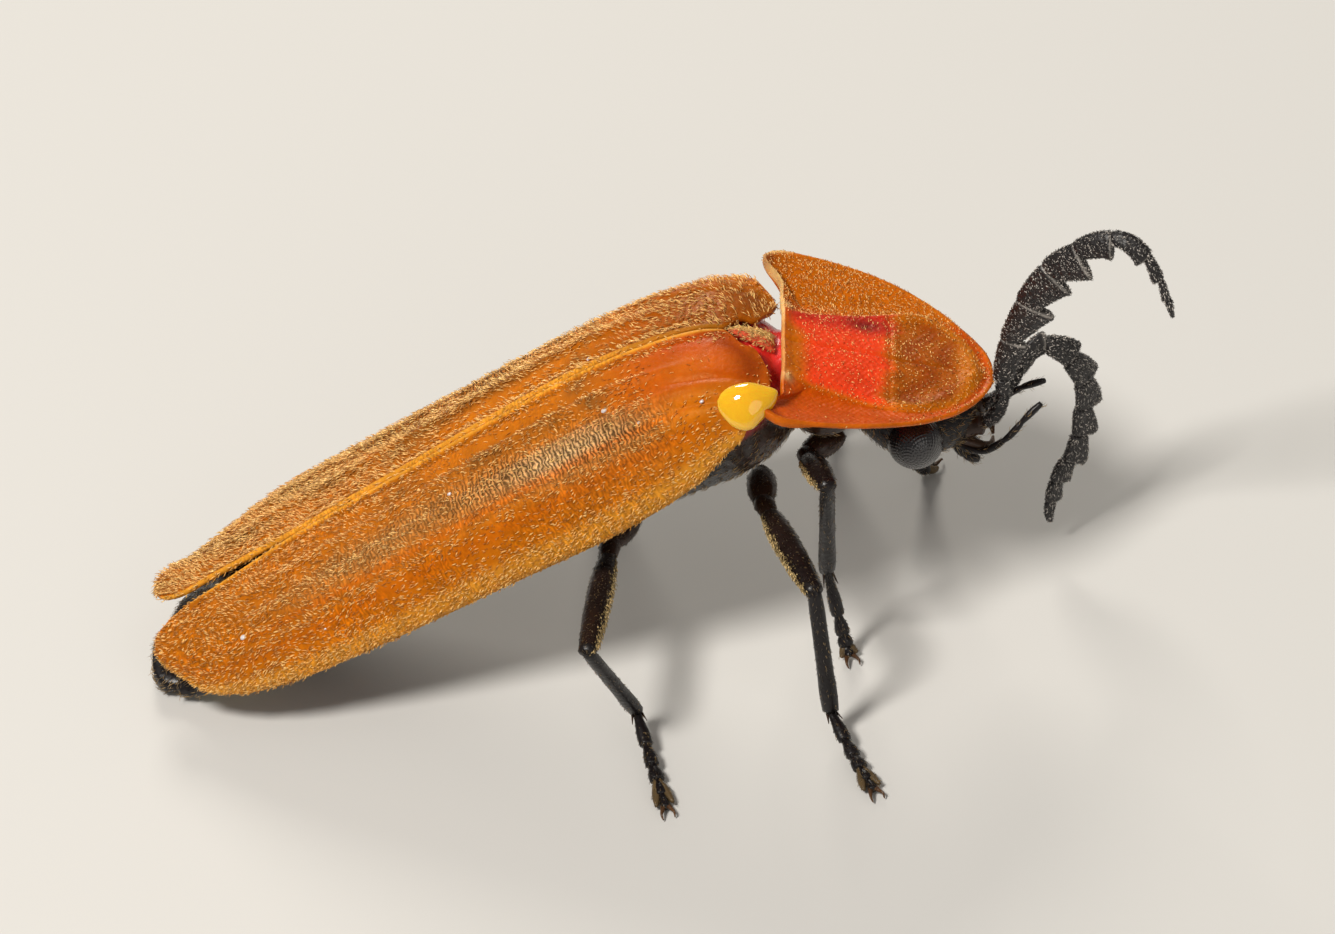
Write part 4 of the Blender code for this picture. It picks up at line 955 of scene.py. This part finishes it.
def make_scutellum():
    """The small three-sided plate between the bases of the wing cases."""
    rows, columns = 30, 30
    t = np.linspace(0.0, 1.0, rows)[:, None]
    s = np.linspace(-1.0, 1.0, columns)[None]
    along = -0.04 + 0.60 * t + 0.0 * s
    width = 0.25 * (1.0 - t ** 1.6) ** 0.75 + 0.004
    across = width * s
    height = (curve(SUTURE_HEIGHTS, np.maximum(along, 0.0)) - 0.10
              + 0.08 * (1.0 - np.abs(s) ** 1.5) * (1.0 - 0.6 * t))
    height = height - 0.10 * smooth((0.2 - t) / 0.2) + 0.012 * np.sin(along * 50.0 + 4.0 * s)
    middle = elytron_point(along, across, height)
    edge = np.minimum(np.minimum(width - np.abs(across), along - along[:1]), along[-1:] - along)
    rounding = np.clip(edge / 0.04, 0.0, 1.0)
    thickness = 0.10 * np.sqrt(1.0 - (1.0 - rounding) ** 2)
    uv = np.stack((0.1 + 0.8 * t + 0.0 * s, 0.5 + 0.4 * s + 0.0 * t), axis=-1)
    lie = np.broadcast_to(-ELYTRON_FORWARD, middle.shape)
    # The far half is gold, partly its own colour and partly painted light on the lit slope; the near half is pink
    paint = mix(SCUTELLUM_LIT_GOLD, MEMBRANE_PINK, smooth((0.15 - s) / 0.5) * 0.8 + 0.0 * t)
    skin = plate(middle, thickness, uv, lie, paint, np.ones_like(along))
    build("scutellum", skin, SHIELD)
    coat("scutellum_hair", skin, GOLD, 32, 420.0, 0.11, 0.018, 0.3, 0.4)


def make_fore_trunk():
    """The underside of the fore body, joining the head to the thorax."""
    rings = []
    for x in np.linspace(0.30, 1.75, 30):
        t = (x - 0.30) / 1.45
        half_width = 1.12 + 0.18 * math.sin(math.pi * t) - 0.6 * t * t
        top = -0.62 - 0.404 * (x - 0.146) - 0.02
        bottom = -1.84 - 0.25 * math.sin(math.pi * t) - 0.30 * t
        rings.append(trunk_ring(x, half_width, top, bottom))
    skin = tube(rings, (0.02, 0.02), (0.96, 0.96), BROWN_SHELL, 1.0)
    build("prosternum", skin, BLACK, ("prosternum",))
    coat("prosternum_hair", skin, DARK_HAIR, 33, 60.0, 0.14, 0.013, 0.3, 0.4, BRONZE_HAIR)


def make_segments(name, breaks, shell, nodes, paint_of, flank, back, hair_tint, seed):
    """Overlapping segments of the abdomen, each flared a little at its hind edge."""
    skins = []
    total = len(breaks) - 1
    for number, (front, rear) in enumerate(zip(breaks[:-1], breaks[1:])):
        rings = []
        paint = []
        for t in np.linspace(0.0, 1.0, 22):
            x = front + 0.10 + (rear - front - 0.16) * t
            close = math.sqrt(max(0.0, 1.0 - max(0.0, (t - 0.93) / 0.07) ** 2))
            opened = math.sqrt(max(0.0, 1.0 - max(0.0, (0.10 - t) / 0.10) ** 2))
            swell = -0.10 + 0.11 * smooth(t * 1.15)
            half_width = (float(curve(ABDOMEN_WIDTHS, np.array(x))) + swell)
            bottom = float(curve(ABDOMEN_BOTTOMS, np.array(x))) - swell * 0.8
            top = under_wing_cases(x)
            top = top + (-6.32 - top) * smooth((-11.6 - x) / 1.4)
            middle = 0.5 * (top + bottom)
            shrink = 0.25 + 0.75 * min(close + 0.35, 1.0) * opened
            half = 0.5 * (top - bottom) * shrink
            ring = trunk_ring(x, half_width * shrink, middle + half, max(middle - half, FLOOR + 0.01), power=2.6)
            ring[:, 1] -= 0.42 * smooth((-12.85 - x) / 0.6)
            rings.append(ring)
            paint.append(paint_of(number, float(t)))
        corner = (0.02, 0.02 + 0.96 * number / total)
        skins.append(tube(rings, corner, (0.96, 0.90 / total), np.array(paint), 1.0))
    skin = joined(skins)
    sideways = np.abs(skin["points"][:, 1]) / curve(ABDOMEN_WIDTHS, skin["points"][:, 0])
    skin["paint"] = mix(skin["paint"], flank, smooth((sideways - 0.78) / 0.12))
    upward = point_normals(skin["points"], skin["triangles"])[:, 2]
    skin["paint"] = mix(skin["paint"], back, smooth((upward - 0.15) / 0.3))
    build(name, skin, shell, nodes)
    coat(f"{name}_hair", skin, DARK_HAIR, seed, 90.0, 0.15, 0.013, 0.25, 0.4, hair_tint)


def belly_paint(number, t):
    """Black-brown segment with a slightly paler hind edge."""
    return mix(BLACK_SHELL, BROWN_SHELL, np.array(0.25 + 0.6 * smooth((t - 0.85) / 0.1)))


def lantern_paint(number, t):
    """Pale light organ with a faint darker front edge."""
    return mix(LANTERN_PALE, SMOKY_TONE_AND_SHEEN, np.array(0.5 * smooth((0.2 - t) / 0.2)))


# Head

def sweep(path, radii, uv_corner, uv_size, paint, hair, sides=16, flat=1.0):
    """A round tube along a path with its own radius at each point."""
    path = np.asarray(path, dtype=float)
    along = unit(np.gradient(path, axis=0))
    reference = SIDE if abs(along[:, 1]).max() < 0.9 else UP
    side = unit(np.cross(reference, along))
    upward = np.cross(along, side)
    rings = [oval(path[i], side[i], upward[i], radii[i], radii[i] * flat, sides) for i in range(len(path))]
    return tube(rings, uv_corner, uv_size, paint, hair)


def bead_radii(count, sizes, waist=0.6):
    """Radii along a jointed feeler: each article swells and narrows at its joints."""
    t = np.linspace(0.0, len(sizes), count)
    index = np.minimum(t.astype(int), len(sizes) - 1)
    within = t - index
    swell = waist + (1.0 - waist) * np.sin(math.pi * np.clip(within, 0.02, 0.98)) ** 0.5
    return np.array(sizes)[index] * swell


HEAD_WIDTHS = ((1.30, 0.30), (1.55, 0.52), (1.9, 0.86), (2.3, 1.02), (2.65, 1.05), (3.0, 0.96), (3.3, 0.76),
               (3.6, 0.55), (3.85, 0.36))
HEAD_BOTTOMS = ((1.30, -2.35), (1.55, -2.60), (1.9, -2.93), (2.3, -3.1), (2.65, -3.2), (3.0, -3.25),
                (3.3, -3.25), (3.6, -3.2), (3.85, -3.12))


def make_head():
    """Head capsule with brow grooves, snout, jaws and the feelers of the mouth."""
    rings = []
    for x in np.linspace(1.30, 3.85, 60):
        half_width = float(curve(HEAD_WIDTHS, np.array(x)))
        bottom = float(curve(HEAD_BOTTOMS, np.array(x)))
        top = PRONOTUM_BASE[2] - 0.404 * (x - 0.146) - 0.62
        ring = trunk_ring(x, half_width, top, bottom, power=2.2)
        dent = 0.06 * hump(ring[:, 1], 0.0, 0.18) * (ring[:, 2] > 0.5 * (top + bottom)) * smooth((x - 2.2) / 0.5)
        ring[:, 2] -= dent
        rings.append(ring)
    skins = [tube(rings, (0.02, 0.02), (0.6, 0.5), BLACK_SHELL, 1.0)]
    for side in (-1.0, 1.0):
        shift = 0.25 * (side + 1.0)
        jaw = smooth_path(((3.55, 0.34 * side, -3.1), (3.85, 0.40 * side, -3.25), (4.05, 0.30 * side, -3.35),
                           (4.1, 0.04 * side, -3.40)), 24)
        skins.append(sweep(jaw, np.linspace(0.14, 0.02, 24) ** 0.9, (0.66, 0.02 + shift), (0.1, 0.2),
                           mix(BROWN_SHELL, CLAW_AMBER, np.linspace(0.0, 0.6, 24)), 0.2, flat=0.7))
        lift = 0.12 + 0.10 * side
        palp = smooth_path(((3.35, 0.42 * side, -3.10), (3.85, 0.58 * side, -3.28), (4.40, 0.52 * side, -3.10 + lift),
                            (4.85, 0.36 * side, -2.75 + lift), (5.20 + 0.5 * lift, 0.22 * side, -2.52 + lift)), 60)
        skins.append(sweep(palp, bead_radii(60, (0.07, 0.08, 0.075, 0.075)), (0.78, 0.02 + shift), (0.1, 0.2),
                           BLACK_SHELL, 0.5))
        lower = smooth_path(((3.2, 0.2 * side, -3.1), (3.45, 0.27 * side, -3.55), (3.75, 0.25 * side, -3.78)), 40)
        skins.append(sweep(lower, bead_radii(40, (0.07, 0.08, 0.10)), (0.9, 0.02 + shift), (0.08, 0.2),
                           BLACK_SHELL, 1.0))
        socket = smooth_path(((3.55, 0.27 * side, -2.85), (3.8, 0.28 * side, -2.80), (4.02, 0.28 * side, -2.78)), 12)
        skins.append(sweep(socket, np.array((0.25, 0.25, 0.25, 0.25, 0.25, 0.24, 0.23, 0.23, 0.24, 0.24, 0.21, 0.12)),
                           (0.02 + shift, 0.6), (0.2, 0.3), BROWN_SHELL, 0.5))
    skin = joined(skins)
    build("head", skin, BLACK, ("head",))
    coat("head_hair", skin, DARK_HAIR, 41, 150.0, 0.12, 0.011, 0.5, 0.5, BRONZE_HAIR)


def make_eye(side, name):
    """A domed compound eye: a fine dome with a small bulge for each facet."""
    rows, columns = 70, 160
    polar = np.linspace(0.02, 0.64 * math.pi, rows)[:, None]
    turn = np.linspace(0.0, 2.0 * math.pi, columns, endpoint=False)[None]
    outward = np.stack((np.sin(polar) * np.cos(turn), np.cos(polar) + 0.0 * turn, np.sin(polar) * np.sin(turn)), -1)
    facets = 620
    order = np.arange(facets) + 0.5
    height = 1.0 - order * (1.45 / facets)
    spin = order * math.pi * (1.0 + math.sqrt(5.0))
    flat = np.sqrt(1.0 - height ** 2)
    centres = np.stack((flat * np.cos(spin), height, flat * np.sin(spin)), axis=-1)
    nearest = np.max(outward.reshape(-1, 3) @ centres.T, axis=1).reshape(rows, columns)
    apart = np.arccos(np.clip(nearest, -1.0, 1.0))
    dome = 1.0 + 0.016 * (1.0 - (apart / 0.065) ** 2)
    points = outward * dome[..., None] * np.array((0.56, 0.56, 0.56))
    points[..., 1] *= side
    points = points + EYE_CENTRE + SIDE * 0.90 * side
    rings = points
    skin = tube(rings, (0.02, 0.02), (0.96, 0.96), np.array((0.012, 0.010, 0.012)), 0.0)
    build(name, skin, EYE, (name,))


# Feelers

def make_antenna(name, path, articles, teeth, facing, tooth_side, seed):
    """A flat, toothed feeler: each article widens from a neck to a blunt tooth at its far edge."""
    total = sum(articles)
    fine = smooth_path(path, 241)
    facing = unit(facing)
    skins = []
    done = 0.0
    places = np.concatenate((np.linspace(0.0, 0.10, 5), np.linspace(0.16, 0.88, 14), np.linspace(0.91, 1.0, 7)))
    for article, (length, tooth) in enumerate(zip(articles, teeth)):
        rings = []
        paint = []
        before = teeth[max(article - 1, 2)]
        for t in places:
            index = min(max((done + length * (t * 1.03 - 0.02)) / total, 0.0), 0.9999) * 240.0
            low = int(index)
            centre = fine[low] + (fine[low + 1] - fine[low]) * (index - low)
            along = unit(fine[min(low + 7, 240)] - fine[max(low - 7, 0)])
            across = unit(np.cross(facing, along)) * tooth_side
            flat = np.cross(along, across)
            neck = math.sqrt(min(1.0, (t + 0.012) / 0.10))
            front = math.sqrt(max(0.015, 1.0 - max(0.0, (t - 0.90) / 0.1001) ** 2))
            if article < 2:
                reach = tooth * (0.85 + 0.15 * math.sin(math.pi * t))
                inner = reach
                thick = 0.13
            elif article == len(articles) - 1:
                reach = tooth * (1.0 - 0.8 * t ** 2)
                inner = reach
                thick = 0.08
            else:
                start = min(0.46 * tooth, 0.5 * before)
                reach = start + (tooth - start) * t ** 0.9
                inner = min(0.19, 0.55 * tooth) * (0.80 + 0.20 * math.sin(math.pi * min(1.0, 0.3 + 0.7 * t)))
                thick = 0.075 + 0.05 * min(1.0, tooth / 0.5)
            reach *= 0.62 + 0.38 * neck
            inner *= 0.70 + 0.30 * neck
            wide = 0.5 * (reach + inner) * (0.45 + 0.55 * front)
            middle = centre + across * (0.5 * (reach - inner))
            rings.append(oval(middle, across, flat, wide, thick * (0.60 + 0.40 * neck) * (0.35 + 0.65 * front),
                              32, 2.5))
            paint.append(mix(BLACK_SHELL * 1.1, GREY_HAIR * 3.5,
                             np.array(0.7 * hump(t, 0.965, 0.022) * (article > 1))))
        corner = (0.02, 0.02 + 0.96 * article / len(articles))
        skins.append(tube(rings, corner, (0.96, 0.80 / len(articles)), np.array(paint), 1.0))
        done += length
    skin = joined(skins)
    build(name, skin, FEELER, (name,))
    # The brightest bristles are painted near white as glints
    coat(f"{name}_hair", skin, DARK_HAIR, seed, 520.0, 0.055, 0.016, 0.35, 0.7, GREY_HAIR, 0.9,
         (0.05, 8.5))


# Legs

def bone(start, end, radii, corner, size, paint, hair=1.0, flat=0.85, sides=28):
    """A straight limb segment with its radii at equal steps, smoothed between them."""
    start = np.asarray(start, dtype=float)
    end = np.asarray(end, dtype=float)
    along = unit(end - start)
    side = unit(np.cross(along, UP))
    upward = np.cross(side, along)
    count = 30
    stations = np.column_stack((np.linspace(0.0, 1.0, len(radii)), radii))
    rings = []
    for t in np.linspace(0.0, 1.0, count):
        radius = float(curve(stations, np.array(t)))
        cap = math.sqrt(max(0.003, 1.0 - max(0.0, 1.0 - t / 0.05, (t - 0.96) / 0.04) ** 2))
        rings.append(oval(start + (end - start) * t, side, upward, radius * cap, radius * cap * flat, sides))
    return tube(rings, corner, size, paint, hair)


def fringe(skin, direction, row_width, lower=0.0):
    """The same skin with hair only in a row along the side of it that faces a direction."""
    normals = point_normals(skin["points"], skin["triangles"])
    row = hump(1.0 - normals @ unit(direction), 0.0, row_width)
    return {**skin, "hair": row * (skin["hair"] > 0.9)}


def tarsus_path(ankle, toe):
    """Bends from the ankle down to the ground and out along it to the toe."""
    flat = (toe - ankle) * np.array((1.0, 1.0, 0.0))
    control = toe - flat * 0.55
    share = np.array((0.0, 0.34, 0.54, 0.70, 0.86, 1.0))[:, None]
    rest = 1.0 - share
    return rest * rest * ankle + 2 * rest * share * control + share * share * toe


def make_leg(name, joints, row_direction, seed):
    """One leg: coxa, trochanter, femur, tibia with spurs, tarsus with a two-lobed pad, claws."""
    coxa, trochanter, knee, ankle, toe = [np.asarray(joint, dtype=float) for joint in joints]
    limb = mix(BLACK_SHELL, BROWN_SHELL, np.linspace(0.5, 0.05, 30))
    dark = BLACK_SHELL
    skins = [bone(coxa + (coxa - trochanter) * 0.3, trochanter, (0.16, 0.27, 0.30, 0.28, 0.18), (0.02, 0.02),
                  (0.3, 0.2), BROWN_SHELL)]
    over = trochanter + unit(trochanter - knee) * 0.14
    skins.append(bone(over, trochanter + (knee - trochanter) * 0.14, (0.15, 0.21, 0.20, 0.16), (0.35, 0.02),
                      (0.2, 0.2), BROWN_SHELL))
    femur = bone(trochanter + (knee - trochanter) * 0.06, knee + unit(knee - trochanter) * 0.10,
                 (0.14, 0.22, 0.26, 0.26, 0.25, 0.22, 0.18), (0.02, 0.25), (0.9, 0.2), limb, flat=0.78)
    skins.append(femur)
    skins.append(bone(knee + unit(knee - ankle) * 0.11, ankle + unit(ankle - knee) * 0.05,
                      (0.13, 0.165, 0.165, 0.17, 0.175, 0.19, 0.17), (0.02, 0.5), (0.9, 0.2), dark, 0.4,
                      flat=0.82))
    places = tarsus_path(ankle, toe)
    for number, wide in enumerate((0.135, 0.14, 0.15, 0.12, 0.095)):
        start, end = places[number], places[number + 1]
        back = start - unit(end - start) * 0.08
        corner = (0.02 + 0.19 * number, 0.75)
        skins.append(bone(back, end + unit(end - start) * 0.02, (0.07, 0.55 * wide + 0.02, wide, wide * 1.02),
                          corner, (0.17, 0.1), dark))
    heading = unit((toe - places[4]) * np.array((1.0, 1.0, 0.0)))
    across = np.array((-heading[1], heading[0], 0.0))
    for turn in (-1.0, 1.0):
        lobe = smooth_path((places[3] + across * 0.02 * turn, places[4] + across * 0.12 * turn - UP * 0.01,
                            places[4] + (places[5] - places[4]) * 0.75 + across * 0.17 * turn), 16)
        skins.append(sweep(lobe, 0.088 * np.sin(np.linspace(0.5, math.pi - 0.25, 16)) ** 0.7,
                           (0.4 + 0.1 * turn, 0.88), (0.08, 0.05), mix(dark, BRONZE_HAIR, np.full(16, 0.30)), 0.9))
        claw = smooth_path((toe - heading * 0.06 + across * 0.04 * turn, toe + heading * 0.10 + across * 0.10 * turn,
                            toe + heading * 0.20 + across * 0.13 * turn,
                            toe + heading * 0.27 + across * 0.12 * turn - UP * 0.08), 18)
        skins.append(sweep(claw, np.linspace(0.06, 0.012, 18), (0.6 + 0.1 * turn, 0.88), (0.08, 0.05),
                           mix(BROWN_SHELL, CLAW_AMBER, np.linspace(0.3, 1.0, 18)), 0.0))
        spur = smooth_path((ankle - UP * 0.02 + across * 0.08 * turn,
                            ankle + (places[1] - ankle) * 0.35 + across * 0.15 * turn), 8)
        skins.append(sweep(spur, np.linspace(0.035, 0.008, 8), (0.8 + 0.05 * turn, 0.88), (0.04, 0.05),
                           BROWN_SHELL, 0.0, sides=8))
    skin = joined(skins)
    skin["points"][:, 2] = np.maximum(skin["points"][:, 2], FLOOR + 0.005)
    femur["points"][:, 2] = np.maximum(femur["points"][:, 2], FLOOR + 0.005)
    build(name, skin, BLACK, (name,))
    coat(f"{name}_hair", skin, DARK_HAIR, seed, 170.0, 0.08, 0.011, 0.30, 0.35, BRONZE_HAIR, 0.7,
         (0.05, 1.3))
    coat(f"{name}_fringe", fringe(femur, row_direction, 0.09), GOLD, seed + 20, 1900.0, 0.10, 0.018,
         0.5, 0.35, ROW_HAIR, 0.95, (0.5, 1.8))


# Drop at the shoulder

def make_drop():
    """The bead of yellow fluid that wets the shoulder of the wing case and the shield's corner."""
    outline = np.array(DROP_OUTLINE)
    outline = smooth_path(np.vstack((outline, outline[:1])), 97)[:-1]
    upright = unit(CAMERA_BACK + 0.25 * UP)
    flat = CAMERA_RIGHT * outline[:, :1] + CAMERA_UP * outline[:, 1:]
    flat = flat - upright * (flat @ upright)[:, None] * 0.6
    rings = []
    turn = np.arctan2(outline[:, 1], outline[:, 0])[:, None]
    round_flat = 0.40 * (CAMERA_RIGHT * np.cos(turn) + CAMERA_UP * np.sin(turn))
    for angle in np.linspace(0.03, math.pi - 0.03, 56):
        height = DROP_HEIGHT if angle < 0.5 * math.pi else DROP_DEPTH
        wet = math.sin(angle) ** 2.5
        reach = flat * wet + round_flat * (1.0 - wet)
        rings.append(DROP_CENTRE + reach * math.sin(angle) ** 0.8 + upright * height * math.cos(angle))
    skin = tube(rings, (0.02, 0.02), (0.96, 0.96), DROP_YELLOW, 0.0)
    build("humeral_drop", skin, FLUID, ("humeral_drop",))


def make_dew():
    """Tiny beads of wetness on the wing cases, painted near white as glints."""
    skins = []
    for along, across, radius in DEW:
        place = np.array(along)
        centre = elytron_point(place, np.array(across), elytron_height(place, np.array(abs(across))))
        rings = [oval(centre + ELYTRON_UP * 0.8 * radius * math.cos(angle), ELYTRON_FORWARD, SIDE,
                      1.2 * radius * math.sin(angle), radius * math.sin(angle), 20)
                 for angle in np.linspace(0.05, math.pi - 0.05, 14)]
        skins.append(tube(rings, (0.02, 0.02), (0.96, 0.96), DEW_GLINT_WHITE, 0.0))
    build("wing_case_dew", joined(skins), DEW_FILM)


make_wing_case(-1.0, "elytron_right")
make_wing_case(1.0, "elytron_left")
make_shield()
make_scutellum()
make_thorax()
make_fore_trunk()
make_segments("abdomen", (-4.1, -5.8, -7.1, -8.4, -9.6, -11.1), BLACK, ("abdomen",), belly_paint,
              PLEURA_TAN, BLACK_SHELL, BRONZE_HAIR, 51)
make_segments("lantern", (-10.8, -11.75, -12.6), LANTERN, ("lantern",), lantern_paint,
              BLACK_SHELL, BLACK_SHELL, GOLD_HAIR, 52)
make_segments("abdomen_tip", (-12.3, -12.95, -13.45), BLACK, ("abdomen_tip",), belly_paint,
              BLACK_SHELL, BLACK_SHELL, BRONZE_HAIR, 53)
make_head()
make_eye(-1.0, "eye_right")
make_eye(1.0, "eye_left")
make_antenna("antenna_right", ANTENNA_RIGHT, RIGHT_ARTICLES, RIGHT_TEETH, (0.11, -0.73, 0.67), -1.0, 61)
make_antenna("antenna_left", ANTENNA_LEFT, LEFT_ARTICLES, LEFT_TEETH, (0.76, -0.65, 0.2), 1.0, 62)
for leg_number, (leg_name, leg_joints) in enumerate(LEG_JOINTS.items()):
    row = np.array((0.9 if "hind" in leg_name else -0.9, -0.35 if "right" in leg_name else 0.35, 0.3))
    make_leg(leg_name, leg_joints, row, 71 + leg_number)
make_drop()
make_dew()


# Floor, lights and camera

def make_floor():
    """A plain pale floor."""
    mesh = bpy.data.meshes.new("floor")
    reach = 3.0
    mesh.from_pydata([(-reach, -reach, 0.0), (reach, -reach, 0.0), (reach, reach, 0.0), (-reach, reach, 0.0)], [],
                     [(0, 1, 2, 3)])
    made = bpy.data.materials.new("floor")
    made.use_nodes = True
    shader = made.node_tree.nodes["Principled BSDF"]
    shader.inputs["Base Color"].default_value = (0.62, 0.61, 0.59, 1.0)
    shader.inputs["Roughness"].default_value = 0.85
    mesh.materials.append(made)
    item = bpy.data.objects.new("floor", mesh)
    bpy.context.scene.collection.objects.link(item)


def look_at(item, place, target, upward):
    """Stand an object at a place, facing a target, all in metres."""
    back = unit(place - target)
    right = unit(np.cross(upward, back))
    above = np.cross(back, right)
    rows = np.vstack((np.column_stack((right, above, back, place)), (0.0, 0.0, 0.0, 1.0)))
    item.matrix_world = Matrix(rows.tolist())


def make_light(name, direction, distance, size, power, colour):
    """A soft round lamp facing the insect."""
    lamp = bpy.data.lights.new(name, "AREA")
    lamp.shape = "DISK"
    lamp.size = size
    lamp.energy = power
    lamp.color = colour
    item = bpy.data.objects.new(name, lamp)
    bpy.context.scene.collection.objects.link(item)
    target = SCUTELLUM * METRES + np.array((-0.004, 0.0, -0.002))
    look_at(item, target + unit(direction) * distance, target, SIDE + 0.01 * FORWARD)


def make_camera():
    """The photograph's view: its direction, roll, scale and framing."""
    centre = (PHOTO_SIZE / 2.0 - SCUTELLUM_PIXEL) * PIXEL
    target = SCUTELLUM + CAMERA_RIGHT * centre[0] - CAMERA_UP * centre[1]
    lens = bpy.data.cameras.new("camera")
    lens.sensor_width = SENSOR
    lens.lens = SENSOR * CAMERA_DISTANCE / (PHOTO_SIZE[0] * PIXEL)
    lens.clip_start = 0.01
    lens.clip_end = 20.0
    item = bpy.data.objects.new("camera", lens)
    bpy.context.scene.collection.objects.link(item)
    look_at(item, (target + CAMERA_BACK * CAMERA_DISTANCE) * METRES, target * METRES, CAMERA_UP)
    bpy.context.scene.camera = item


def make_world():
    """Even, faint light from all round."""
    world = bpy.data.worlds.new("studio")
    world.use_nodes = True
    world.node_tree.nodes["Background"].inputs["Color"].default_value = (1.0, 0.97, 0.92, 1.0)
    world.node_tree.nodes["Background"].inputs["Strength"].default_value = 0.22
    bpy.context.scene.world = world
    bpy.context.scene.view_settings.view_transform = "Standard"


make_floor()
make_light("key", (-0.35, -0.33, 0.88), 0.16, 0.045, 0.24, (1.0, 0.96, 0.90))
make_light("rim", (-0.10, 0.95, 0.55), 0.16, 0.06, 0.13, (1.0, 0.95, 0.86))
make_light("fill", (0.6, -1.0, 0.5), 0.30, 0.20, 0.10, (1.0, 0.96, 0.90))
make_camera()
make_world()
